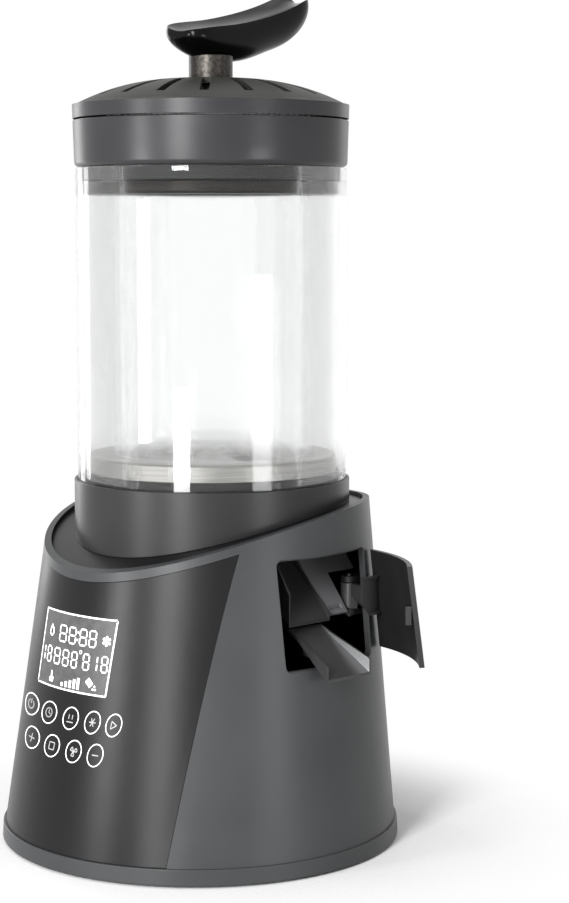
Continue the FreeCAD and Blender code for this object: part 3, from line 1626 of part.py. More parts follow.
def make_lid_cover():
    """Upper band and dome of the lid, with the ring of steam slots."""
    body = new_body("lid_cover")
    low = lid_split + lid_split_gap / 2
    inner = lid_low_radius - lid_wall
    bulge = dome_arc_radius(0)
    profile = [
        corner(inner, low),
        corner(lid_radius(low), low),
        corner(lid_high_radius, lid_rim),
        corner(lid_high_radius - dome_edge, lid_rim),
        arc_to(dome_flat_radius, dome_top, bulge, True),
        corner(0, dome_top),
        corner(0, dome_top - dome_wall),
        corner(dome_flat_radius, dome_top - dome_wall),
        arc_to(inner, lid_rim - dome_wall, bulge, False),
    ]
    spin(body, "cover_turn", outlined(body, "cover_profile", "XZ", [profile]))
    slot = box_outline(lid_slot_inner, -lid_slot_width / 2, lid_slot_outer, lid_slot_width / 2)
    sketch = outlined(body, "steam_slot_line", "XY", [slot], lid_rim - dome_wall)
    cut = pocket(body, "steam_slot", sketch, dome_top - lid_rim + dome_wall * 2, along=True)
    around(body, "steam_slots", cut, lid_slot_count)
    hole = circled(body, "stem_hole_circle", "XY", [(0, 0, handle_screw_shank / 2 + fit_gap)],
                   lid_split)
    pocket(body, "stem_hole", hole, REACH, along=True)
    bind(body, "Placement.Rotation.Angle", lid_slot_phase)
    keep(body, "lid_cover")


def make_lid_insides():
    """Mesh under the slots, the metal plug and its gasket."""
    mesh_radius = lid_low_radius - lid_wall - fit_gap
    mesh = ring("lid_mesh", tube_profile(handle_screw_head, mesh_radius, mesh_level - mesh_thickness,
                                         mesh_level))
    keep(mesh, "lid_mesh")
    profile = [
        corner(plug_bore, plug_low),
        corner(plug_radius - 1, plug_low),
        corner(plug_radius, plug_low + 1),
        corner(plug_radius, plug_split - plug_groove / 2),
        corner(plug_bore + 2, plug_split - plug_groove / 2),
        corner(plug_bore + 2, lid_base - 0.05),
        corner(plug_bore, lid_base - 0.05),
    ]
    keep(ring("lid_plug", profile), "lid_plug")
    seal_outside = glass_diameter / 2 - glass_wall - joint_gap
    seal_foot = plug_split + plug_groove / 2
    gasket = tube_profile(plug_bore + 2.1, seal_outside, seal_foot, lid_base - 0.05)
    keep(ring("lid_gasket", gasket), "lid_gasket")


# Handle
def make_stem():
    """Round metal stem between the dome and the grip."""
    body = new_body("handle_stem")
    profile = [
        corner(handle_screw_shank / 2 + fit_gap, dome_top),
        corner(stem_radius, dome_top),
        corner(stem_radius, stem_top),
        corner(handle_screw_shank / 2 + fit_gap, stem_top),
    ]
    spin(body, "stem_turn", outlined(body, "stem_profile", "XZ", [profile]))
    keep(body, "handle_stem")


# Grip stations from front to back: Y, half width, height of the rim, height of the underside
GRIP_STATIONS = (
    (-21.8, 5.0, 398.6, 395.4),
    (-20.6, 9.2, 399.6, 393.4),
    (-17.0, 12.2, 400.6, 390.2),
    (-10.0, 13.5, 401.9, 386.6),
    (4.0, 13.6, 403.8, 384.8),
    (20.0, 13.2, 407.0, 386.2),
    (35.0, 12.6, 411.0, 390.8),
    (48.0, 11.8, 415.6, 395.6),
    (56.0, 10.4, 418.8, 400.8),
    (60.6, 7.8, 419.4, 405.6),
    (62.4, 4.4, 417.4, 410.2),
)


def grip_section(along, half, top, low):
    """One cross section of the grip: dished top, full sides and a narrower round underside."""
    depth = top - low
    edge, brim = half * 0.94, half * 0.6
    rise = edge * math.tan(math.radians(grip_tilt.value))
    dish = grip_dish.value * min(1.0, depth / 12)
    left_top = Vector(-edge, along, top + rise)
    right_top = Vector(edge, along, top - rise)
    left_low = Vector(-brim, along, low + depth * 0.13)
    right_low = Vector(brim, along, low + depth * 0.13)
    arcs = [
        Part.Arc(left_top, Vector(0, along, top - dish), right_top),
        Part.Arc(right_top, Vector(half, along, low + depth * 0.6), right_low),
        Part.Arc(right_low, Vector(0, along, low), left_low),
        Part.Arc(left_low, Vector(-half, along, low + depth * 0.62), left_top),
    ]
    return Part.Wire([arc.toShape() for arc in arcs])


def make_grip():
    """Sculpted grip, lofted through its sections, with a seat for the stem."""
    solid = Part.makeLoft([grip_section(*station) for station in GRIP_STATIONS], True)
    seat = stem_radius.value + shaft_gap.value
    post = Part.makeCylinder(seat, stem_radius.value, Vector(0, 0, stem_top.value - stem_radius.value))
    bore_radius = handle_screw_shank.value / 2 + fit_gap.value
    bore = Part.makeCylinder(bore_radius, handle_screw_length.value, Vector(0, 0, dome_top.value))
    grip = doc.addObject("Part::Feature", "handle_grip")
    grip.Shape = solid.cut(post).cut(bore)
    keep(grip, "handle_grip")


def make_handle_screw():
    """Screw that holds the handle from under the dome."""
    body = new_body("handle_screw")
    seat = dome_top - dome_wall - 0.05
    head = circled(body, "handle_head_circle", "XY", [(0, 0, handle_screw_head / 2)], seat)
    pad(body, "handle_head", head, 3.0, back=True)
    shank = circled(body, "handle_shank_circle", "XY", [(0, 0, handle_screw_shank / 2)], seat)
    pad(body, "handle_shank", shank, handle_screw_length)
    keep(body, "handle_screw")


def build():
    """Make every sub-part."""
    make_foot_ring()
    make_base_ring()
    make_base_pan()
    make_base_screws()
    make_body_shell()
    make_ledge_deck()
    make_collar_ring()
    make_control_panel()
    make_display_lens()
    make_display_module()
    make_touch_board()
    make_main_board()
    make_power_inlet()
    make_inlet_pins()
    make_blower_motor()
    make_blower_mount()
    make_blower_housing()
    make_blower_impeller()
    make_heater_case()
    make_heater_frame()
    make_heater_coil()
    make_air_duct()
    make_thermal_cutout()
    make_temperature_probe()
    make_glass()
    make_chamber_floor()
    make_discharge_tube()
    make_gate_flap()
    make_gate_drive()
    make_discharge_trough()
    make_deflector()
    make_tray()
    make_tray_rail()
    make_door()
    make_door_arm()
    make_hinge()
    make_door_latch()
    make_lid_ring()
    make_lid_cover()
    make_lid_insides()
    make_stem()
    make_grip()
    make_handle_screw()


def check():
    """Stop if any object failed or any sub-part has no sound shape."""
    doc.recompute()
    for item in doc.Objects:
        if "Invalid" in item.State or "Error" in item.State:
            raise ValueError(f"{item.Label} failed: {item.State}")
    for item in SUBPARTS:
        shape = item.Shape
        if shape.isNull() or not shape.isValid() or not shape.Solids or shape.Volume <= 0:
            raise ValueError(f"{item.Label} has no valid solid")


def export():
    """Write each sub-part to a file of its own."""
    os.makedirs("parts", exist_ok=True)
    for item in SUBPARTS:
        item.Shape.exportStep(f"parts/{item.Label}.step")
        box = item.Shape.optimalBoundingBox(False, False)
        print(f"{item.Label}: {len(item.Shape.Solids)} solid, {item.Shape.Volume / 1000:.2f} cm3, "
              f"x {box.XMin:.1f} {box.XMax:.1f}, y {box.YMin:.1f} {box.YMax:.1f}, "
              f"z {box.ZMin:.1f} {box.ZMax:.1f}")


build()
check()
export()
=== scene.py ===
import logging
from dataclasses import dataclass
from enum import Enum
from functools import partial
from math import ceil, cos, hypot, pi, radians, sin, sqrt
from typing import Any

import bmesh
import bpy
from mathutils import Matrix, Vector
from mathutils.bvhtree import BVHTree


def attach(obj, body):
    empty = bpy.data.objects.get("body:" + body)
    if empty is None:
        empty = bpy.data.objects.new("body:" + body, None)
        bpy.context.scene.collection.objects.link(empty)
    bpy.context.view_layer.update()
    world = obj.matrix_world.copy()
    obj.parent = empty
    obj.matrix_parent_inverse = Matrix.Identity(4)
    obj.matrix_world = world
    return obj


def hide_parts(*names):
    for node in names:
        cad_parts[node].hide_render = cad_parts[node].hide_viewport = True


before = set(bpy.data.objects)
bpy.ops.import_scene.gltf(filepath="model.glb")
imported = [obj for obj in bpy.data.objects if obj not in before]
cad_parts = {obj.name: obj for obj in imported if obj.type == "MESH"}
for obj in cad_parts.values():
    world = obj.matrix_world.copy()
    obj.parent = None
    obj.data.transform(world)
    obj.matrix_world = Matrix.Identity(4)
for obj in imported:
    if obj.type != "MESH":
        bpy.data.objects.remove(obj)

LOG = logging.getLogger("roaster")
MM = 0.001
MERGE = 2e-6  # metres within which two corners of a solid are one
FLAT = 0.2  # degrees below which neighbouring facets count as one face
CREASE = 30.0  # degrees above which an edge stays sharp
BEVEL_MARGIN = 8.0  # degrees beyond the crease from which an edge is broken
Spot = tuple[float, float]
Flat = list[Spot]
Object, Mesh, Material = bpy.types.Object, bpy.types.Mesh, bpy.types.Material


# ---- shared tools


def linear(colour: str) -> tuple[float, float, float, float]:
    """Turns an sRGB hex colour into linear light.

    Args:
        colour: Six hex digits after a hash sign.

    Returns:
        Red, green, blue and an alpha of one.
    """
    parts = []
    for start in (1, 3, 5):
        value = int(colour[start:start + 2], 16) / 255
        parts.append(value / 12.92 if value <= 0.04045 else ((value + 0.055) / 1.055) ** 2.4)
    return (parts[0], parts[1], parts[2], 1.0)


def add_node(tree: Any, kind: str, values: dict | None = None, links: dict | None = None) -> Any:
    """Adds one node to a tree, with its settings and links.

    Args:
        tree: The node tree.
        kind: Blender's name for the kind of node.
        values: Settings, or default values of inputs, by name or number.
        links: Output sockets by the name or number of the input they feed.

    Returns:
        The new node.
    """
    node = tree.nodes.new(kind)
    for key, value in (values or {}).items():
        if isinstance(key, str) and key not in node.inputs:
            setattr(node, key, value)
        else:
            node.inputs[key].default_value = value
    for key, socket in (links or {}).items():
        tree.links.new(socket, node.inputs[key])
    return node


def linked(name: str, data: Any) -> Object:
    """Makes an object of a mesh, lamp or camera and links it to the scene.

    Args:
        name: Its name.
        data: What it shows.

    Returns:
        The object.
    """
    thing = bpy.data.objects.new(name, data)
    bpy.context.scene.collection.objects.link(thing)
    return thing


def new_piece(name: str, mesh: Mesh, material: Material) -> Object:
    """Links a finished mesh to the scene as a piece with one material.

    Args:
        name: The name of the piece.
        mesh: Its mesh, in metres in the frame.
        material: Its finish.

    Returns:
        The new object, at the origin.
    """
    mesh.materials.clear()
    mesh.materials.append(material)
    return linked(name, mesh)


def settle(piece: Object, body: str, slot: str, *nodes: str) -> Object:
    """Hangs a piece on its body and hides the nodes that it stands for.

    Args:
        piece: The piece.
        body: The body that carries it.
        slot: The record's material slot; not used.
        *nodes: The solids that it replaces.

    Returns:
        The same piece.
    """
    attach(piece, body)
    if nodes:
        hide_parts(*nodes)
    LOG.info("piece %s on %s", piece.name, body)
    return piece


def mesh_of(name: str, shape: bmesh.types.BMesh) -> Mesh:
    """Turns a finished shape into a mesh.

    Args:
        name: The name for the mesh.
        shape: The shape; it is used up.

    Returns:
        The mesh.
    """
    mesh = bpy.data.meshes.new(name)
    shape.to_mesh(mesh)
    shape.free()
    return mesh


def surface(node: str) -> BVHTree:
    """Returns a search tree of a solid's faces."""
    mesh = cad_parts[node].data
    return BVHTree.FromPolygons([vertex.co for vertex in mesh.vertices],
                                [tuple(face.vertices) for face in mesh.polygons])


def shade(piece: Object, edge: float, crease: float = CREASE) -> None:
    """Shades a piece smoothly up to its creases and breaks the edges there.

    Args:
        piece: The piece.
        edge: Width of the broken edges in millimetres, or zero for none.
        crease: Angle in degrees above which an edge stays sharp.
    """
    piece.data.shade_smooth()
    piece.data.set_sharp_from_angle(angle=radians(crease))
    if edge:
        bevel = piece.modifiers.new("broken_edges", "BEVEL")
        bevel.width = edge * MM
        bevel.segments = 2
        bevel.limit_method = "ANGLE"
        bevel.angle_limit = radians(crease + BEVEL_MARGIN)
        bevel.harden_normals = True


def skin(node: str, body: str, kind: "Finish", slot: str, edge: float = 0.0,
         crease: float = CREASE) -> Object:
    """Makes a smooth-shaded piece from a merged copy of a solid, with its edges broken.

    Args:
        node: The solid.
        body: The body that carries it.
        kind: The finish.
        slot: The record's material slot.
        edge: Width of the broken edges in millimetres, or zero for none.
        crease: Angle in degrees above which an edge stays sharp.

    Returns:
        The piece that stands for the solid.
    """
    shape = bmesh.new()
    shape.from_mesh(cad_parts[node].data)
    bmesh.ops.remove_doubles(shape, verts=shape.verts, dist=MERGE)
    bmesh.ops.dissolve_limit(shape, angle_limit=radians(FLAT), verts=shape.verts, edges=shape.edges)
    mesh = mesh_of(node + "_skin", shape)
    for name in ("custom_normal", "sharp_face", "sharp_edge"):
        if name in mesh.attributes:
            mesh.attributes.remove(mesh.attributes[name])
    piece = new_piece(node + "_skin", mesh, finish(kind))
    shade(piece, edge, crease)
    return settle(piece, body, slot, node)


def carve(piece: Object, cutter: bmesh.types.BMesh, edge: float = 0.0) -> None:
    """Cuts a closed shape out of a piece and breaks its edges.

    Args:
        piece: The piece, which keeps its place and finish.
        cutter: The shape to take away; it is used up.
        edge: Width of the broken edges in millimetres, or zero for none.
    """
    tool = linked("cutter", mesh_of("cutter", cutter))
    cut = piece.modifiers.new("cut", "BOOLEAN")
    cut.object = tool
    cut.solver = "EXACT"
    evaluated = piece.evaluated_get(bpy.context.evaluated_depsgraph_get())
    result = bpy.data.meshes.new_from_object(evaluated)
    piece.modifiers.clear()
    materials = list(piece.data.materials)
    piece.data = result
    result.materials.clear()
    for material in materials:
        result.materials.append(material)
    bpy.data.objects.remove(tool)
    shade(piece, edge)


def prism(face: list[Vector], shift: Vector) -> bmesh.types.BMesh:
    """Builds a closed prism from one flat face.

    Args:
        face: Its corners in metres.
        shift: The way from it to the opposite face.

    Returns:
        The shape, with its faces turned outward.
    """
    shape = bmesh.new()
    near = [shape.verts.new(corner) for corner in face]
    far = [shape.verts.new(corner + shift) for corner in face]
    shape.faces.new(near)
    shape.faces.new(far[::-1])
    for n in range(len(near)):
        shape.faces.new((near[n - 1], near[n], far[n], far[n - 1]))
    bmesh.ops.recalc_face_normals(shape, faces=shape.faces)
    return shape


def dress(node: str, kind: "Finish") -> None:
    """Gives a solid that keeps its own shape a better finish.

    Args:
        node: The solid.
        kind: The finish.
    """
    piece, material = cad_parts[node], finish(kind)
    if piece.material_slots:
        piece.material_slots[0].material = material
    else:
        piece.data.materials.append(material)
    LOG.info("finish %s on %s", material.name, node)


def grown(name: str, tree: bpy.types.NodeTree, sizes: dict[str, Any]) -> Mesh:
    """Evaluates a geometry tree once and keeps the plain mesh.

    Args:
        name: The name for the mesh.
        tree: The geometry tree.
        sizes: Values for the tree's named inputs.

    Returns:
        The mesh, free of any modifier.
    """
    carrier = linked(name, bpy.data.meshes.new(name + "_seed"))
    modifier = carrier.modifiers.new(name, "NODES")
    modifier.node_group = tree
    for item in tree.interface.items_tree:
        if item.item_type == "SOCKET" and item.in_out == "INPUT" and item.name in sizes:
            modifier[item.identifier] = sizes[item.name]
    evaluated = carrier.evaluated_get(bpy.context.evaluated_depsgraph_get())
    mesh = bpy.data.meshes.new_from_object(evaluated)
    bpy.data.objects.remove(carrier)
    mesh.name = name
    return mesh


def new_tree(name: str, numbers: tuple[str, ...]) -> tuple[bpy.types.NodeTree, Any]:
    """Starts a geometry tree with named inputs and one geometry output.

    Args:
        name: The tree's name.
        numbers: The names of its number inputs; its last input is the finish.

    Returns:
        The tree and its input node.
    """
    tree = bpy.data.node_groups.new(name, "GeometryNodeTree")
    tree.interface.new_socket("Geometry", in_out="OUTPUT", socket_type="NodeSocketGeometry")
    for label in numbers:
        tree.interface.new_socket(label, in_out="INPUT", socket_type="NodeSocketFloat")
    tree.interface.new_socket("Finish", in_out="INPUT", socket_type="NodeSocketMaterial")
    return tree, tree.nodes.new("NodeGroupInput")


def close_tree(tree: Any, geometry: Any, material: Any) -> None:
    """Turns what a geometry tree has made into plain faces and gives them their finish.

    Args:
        tree: The tree.
        geometry: The socket with the geometry.
        material: The socket with the material.
    """
    real = add_node(tree, "GeometryNodeRealizeInstances", {}, {0: geometry})
    dressed = add_node(tree, "GeometryNodeSetMaterial", {}, {
        "Geometry": real.outputs[0], "Material": material})
    add_node(tree, "NodeGroupOutput", {}, {0: dressed.outputs[0]})


def sums(tree: Any, operation: str, first: Any, second: Any = 0.0) -> Any:
    """Adds one step of arithmetic to a tree.

    Args:
        tree: The node tree.
        operation: Blender's name for the step.
        first: A socket or a number.
        second: A socket or a number.

    Returns:
        The socket with the result.
    """
    values: dict = {"operation": operation}
    links: dict = {}
    for number, part in enumerate((first, second)):
        if isinstance(part, (int, float)):
            values[number] = float(part)
        else:
            links[number] = part
    return add_node(tree, "ShaderNodeMath", values, links).outputs[0]


# ---- finishes


class Lay(Enum):
    """How the marks of making run over a metal."""

    TURNED = (0.02, 0.02, 1.0)
    BRUSHED = (1.0, 0.03, 1.0)
    ROLLED = (0.6, 0.6, 0.6)


def start_material(name: str) -> tuple[Material, Any, Any, Any]:
    """Starts a material with its shader and object coordinates.

    Args:
        name: The material's name.

    Returns:
        The material, its tree, its shader and the coordinates' socket.
    """
    material = bpy.data.materials.new(name)
    material.use_nodes = True
    tree = material.node_tree
    shader = tree.nodes["Principled BSDF"]
    place = add_node(tree, "ShaderNodeTexCoord").outputs["Object"]
    return material, tree, shader, place


def blend_colours(tree: Any, factor: Any, first: str, second: str) -> Any:
    """Blends two colours by a pattern.

    Args:
        tree: The material's tree.
        factor: The pattern's socket.
        first: Hex colour where the pattern is low.
        second: Hex colour where it is high.

    Returns:
        The socket with the colour.
    """
    step = add_node(tree, "ShaderNodeMapRange", {"From Min": 0.35, "From Max": 0.65}, {"Value": factor})
    mix = add_node(tree, "ShaderNodeMix", {"data_type": "RGBA", 6: linear(first), 7: linear(second)},
                   {0: step.outputs[0]})
    return mix.outputs[2]


def vary(tree: Any, shader: Any, pattern: Any, roughness: float, swing: float) -> None:
    """Lets a pattern swing the roughness a little, as handling and moulding do.

    Args:
        tree: The material's tree.
        shader: The shader.
        pattern: The pattern's socket.
        roughness: Middle roughness.
        swing: How far it goes to each side.
    """
    span = {"From Min": 0.3, "From Max": 0.7, "To Min": roughness - swing, "To Max": roughness + swing}
    step = add_node(tree, "ShaderNodeMapRange", span, {"Value": pattern})
    tree.links.new(step.outputs[0], shader.inputs["Roughness"])


def noise(tree: Any, place: Any, scale: float, detail: float = 2.0) -> Any:
    """Returns the socket of a cloudy pattern; the scale counts its clouds to a metre."""
    return add_node(tree, "ShaderNodeTexNoise", {"Scale": scale, "Detail": detail},
                    {"Vector": place}).outputs[0]


def emboss(tree: Any, shader: Any, pattern: Any, strength: float, depth: float = 0.0002) -> None:
    """Lets a pattern stand out of a shader's surface by a depth in metres."""
    bump = add_node(tree, "ShaderNodeBump", {"Strength": strength, "Distance": depth}, {"Height": pattern})
    tree.links.new(bump.outputs[0], shader.inputs["Normal"])


def constants(shader: Any, values: dict[str, Any]) -> None:
    """Sets constants on a shader's own sockets, by the socket's name."""
    for label, value in values.items():
        shader.inputs[label].default_value = value


@dataclass(frozen=True)
class Moulded:
    """Moulded polymer: the tool's grain, and slow swings of colour and gloss."""

    name: str
    colour: str
    shade: str
    roughness: float
    grain: float = 1.0
    relief: float = 0.08
    specular: float = 0.5
    swing: float = 0.03
    drift: float = 40.0
    glow: float = 0.0

    def build(self) -> Material:
        """Returns the material; the grain and the drift are in millimetres."""
        material, tree, shader, place = start_material(self.name)
        drift = noise(tree, place, 1 / (self.drift * MM), 3.0)
        tree.links.new(blend_colours(tree, drift, self.colour, self.shade), shader.inputs["Base Color"])
        vary(tree, shader, drift, self.roughness, self.swing)
        emboss(tree, shader, noise(tree, place, 1 / (self.grain * MM)), self.relief)
        constants(shader, {"Specular IOR Level": self.specular})
        if self.glow:
            constants(shader, {"Emission Color": linear(self.colour), "Emission Strength": self.glow})
        return material


@dataclass(frozen=True)
class Worked:
    """Worked metal: fine lines that follow the tool, over a slow change of tone."""

    name: str
    colour: str
    shade: str
    roughness: float
    lay: Lay = Lay.TURNED
    line: float = 0.5
    relief: float = 0.15

    def build(self) -> Material:
        """Returns the material; the line spacing is in millimetres."""
        material, tree, shader, place = start_material(self.name)
        run = add_node(tree, "ShaderNodeMapping", {"Scale": self.lay.value}, {"Vector": place})
        lines = noise(tree, run.outputs[0], 1 / (self.line * MM))
        tree.links.new(blend_colours(tree, lines, self.colour, self.shade), shader.inputs["Base Color"])
        vary(tree, shader, noise(tree, place, 30.0), self.roughness, 0.04)
        emboss(tree, shader, lines, self.relief, 0.0001)
        constants(shader, {"Metallic": 1.0})
        return material


@dataclass(frozen=True)
class DrawnGlass:
    """Borosilicate tube drawn from the melt: clear, with a trace of long draw lines."""

    name: str = "borosilicate glass, drawn tube"
    tint: str = "#fdfefe"
    see_through: float = 0.5

    def build(self) -> Material:
        """Returns the material; the draw lines are some 6 mm apart around the tube."""
        material, tree, shader, place = start_material(self.name)
        run = add_node(tree, "ShaderNodeMapping", {"Scale": (1.0, 1.0, 0.02)}, {"Vector": place})
        emboss(tree, shader, noise(tree, run.outputs[0], 160.0, 1.0), 0.05)
        constants(shader, {"Base Color": linear(self.tint), "Roughness": 0.0, "IOR": 1.47,
                           "Transmission Weight": 1.0, "Alpha": self.see_through})
        return material


@dataclass(frozen=True)
class EtchedBoard:
    """Glass-epoxy laminate with etched tracks under a solder mask."""

    name: str = "glass epoxy board, etched and masked"
    mask: str = "#0f3d2a"
    track: str = "#1b5a3e"
    gap: str = "#0a2a1d"

    def build(self) -> Material:
        """Returns the material; tracks are drawn 1.2 mm apart, wider than real ones, to show."""
        material, tree, shader, place = start_material(self.name)
        tracks = add_node(tree, "ShaderNodeTexBrick",
                          {"Scale": 260.0, "Color1": linear(self.mask), "Color2": linear(self.track),
                           "Mortar": linear(self.gap)}, {"Vector": place})
        tree.links.new(tracks.outputs[0], shader.inputs["Base Color"])
        vary(tree, shader, noise(tree, place, 300.0), 0.35, 0.05)
        return material


class Finish(Enum):
    """Every finish on the machine."""

    # ABS with a fine spark-eroded grain: satin, never mirror-like
    HOUSING = Moulded("ABS housing, spark-eroded grain", "#343536", "#38393a", 0.38, 0.9, 0.05, 0.22)
    COLLAR = Moulded("ABS collar, spark-eroded grain", "#232324", "#272728", 0.34, 0.9, 0.05, 0.22)
    # the ledge is the collar's plastic, coloured darker: painted shade of the shelf between collar and rim
    LEDGE = Moulded("ABS ledge, collar plastic with painted shade", "#111112", "#151516", 0.34, 1.0, 0.04, 0.22)
    INNER = Moulded("ABS inner wall, plain moulded", "#101011", "#141415", 0.5, 1.2, 0.1, 0.25)
    CHUTE = Moulded("ABS chute, satin moulded", "#2c2c2d", "#303031", 0.36, 1.0, 0.06, 0.4)
    TROUGH = Moulded("ABS trough, satin moulded", "#242425", "#292929", 0.4, 1.0, 0.06, 0.35)
    PLATE = Moulded("ABS plate, satin moulded", "#646466", "#6a6a6c", 0.42, 1.0, 0.06, 0.35)
    DOOR = Moulded("ABS door, spark-eroded grain", "#19191a", "#1d1d1e", 0.34, 0.9, 0.05, 0.32)
    LID = Moulded("ABS lid, satin sprayed", "#28282a", "#2c2c2e", 0.31, 0.8, 0.04, 0.22)
    DOME = Moulded("ABS dome, matt sprayed", "#252622", "#2a2b27", 0.46, 0.8, 0.06, 0.16)
    # PMMA etched to a satin over black ink: deep, with soft broad reflections
    PANEL = Moulded("PMMA panel, satin etched and back-printed", "#0d0d0e", "#0f0f10", 0.33, 3.0, 0.01, 0.2,
                    swing=0.02, drift=60.0)
    LENS = Moulded("polycarbonate lens, matt hard coat", "#434343", "#4f4f4f", 0.42, 1.5, 0.1, 0.3,
                   drift=4.0)
    # the glow is the light of the lit display on its digits and symbols; on the printed frame and touch rings
    # it is painted glow
    INK = Moulded("screen ink, printed, lit display with painted glow", "#f4f4f4", "#ffffff", 0.5, 0.5, 0.05, 0.3, glow=0.25)
    DIM_INK = Moulded("screen ink, printed thin", "#9a9a9a", "#a8a8a8", 0.5, 0.5, 0.05, 0.3)
    GRIP = Moulded("phenolic grip, polished", "#030303", "#050505", 0.22, 2.5, 0.03, 0.12)
    RUBBER = Moulded("silicone rubber, compression moulded", "#161616", "#1b1b1b", 0.7, 0.8, 0.2, 0.3)
    FELT = Moulded("polyester felt, needled", "#0b0b0b", "#131313", 0.9, 0.7, 0.4, 0.1, drift=3.0)
    PAN = Moulded("polypropylene pan, plain moulded", "#262627", "#2b2b2c", 0.55, 1.0, 0.15, 0.4)
    FAN = Moulded("glass-filled nylon, moulded", "#333435", "#3c3d3e", 0.5, 0.6, 0.15, 0.4)
    MICA = Moulded("mica sheet, pressed", "#8d8570", "#b3a988", 0.45, 1.5, 0.25, 0.5, drift=5.0)
    MODULE = Moulded("display module, moulded frame", "#2a2c2e", "#303234", 0.4, 1.0, 0.1, 0.4)
    STEM = Worked("zinc stem, blasted and black nickel plated", "#2f2d2b", "#45423f", 0.42, Lay.ROLLED,
                  0.9, 0.3)
    FLOOR = Worked("aluminium floor, cast and turned", "#8f8e8b", "#a3a29f", 0.33, Lay.TURNED, 0.8, 0.15)
    PLUG = Worked("aluminium plug, spun and anodised dark", "#1b1917", "#2b2927", 0.3, Lay.TURNED, 0.8, 0.2)
    # bright steel on the tray's right wall: painted highlight, its light tone stands for the light falling on
    # that wall
    LIT_WALL_STEEL = Worked("brushed steel, painted highlight on the lit tray wall", "#c4c5c6", "#d2d3d4", 0.36, Lay.BRUSHED, 0.5)
    STEEL = Worked("steel sheet, rolled and zinc plated", "#9a9b9c", "#a9aaab", 0.38, Lay.ROLLED, 1.5)
    ROD = Worked("steel rod, drawn and blackened", "#2a2a2b", "#363637", 0.35, Lay.BRUSHED, 0.5)
    SCREW = Worked("steel screw, black oxide", "#2c2c2d", "#3a3a3b", 0.4, Lay.TURNED, 0.3)
    BRASS = Worked("brass pin, nickel plated", "#b7a98a", "#c4b899", 0.25, Lay.BRUSHED, 0.5)
    WIRE = Worked("resistance wire, drawn and oxidised", "#6f5f57", "#857368", 0.45, Lay.ROLLED, 0.5)
    MESH = Worked("stainless steel wire, woven", "#c9cac9", "#dcdddc", 0.28, Lay.ROLLED, 0.5, 0.1)
    GLASS = DrawnGlass()
    BOARD = EtchedBoard()


MATERIALS: dict[Finish, Material] = {}


def finish(kind: Finish) -> Material:
    """Finds the material of a finish, or builds it the first time it is asked for.

    Args:
        kind: The finish.

    Returns:
        Its material.
    """
    if kind not in MATERIALS:
        MATERIALS[kind] = kind.value.build()
    return MATERIALS[kind]


# ---- studio


@dataclass
class Lamp:
    """A soft box that stands round the machine, seen from the camera's side."""

    name: str
    turn: float
    width: float
    height: float
    radiance: float
    centre: float = 0.42
    reach: float = 1.35


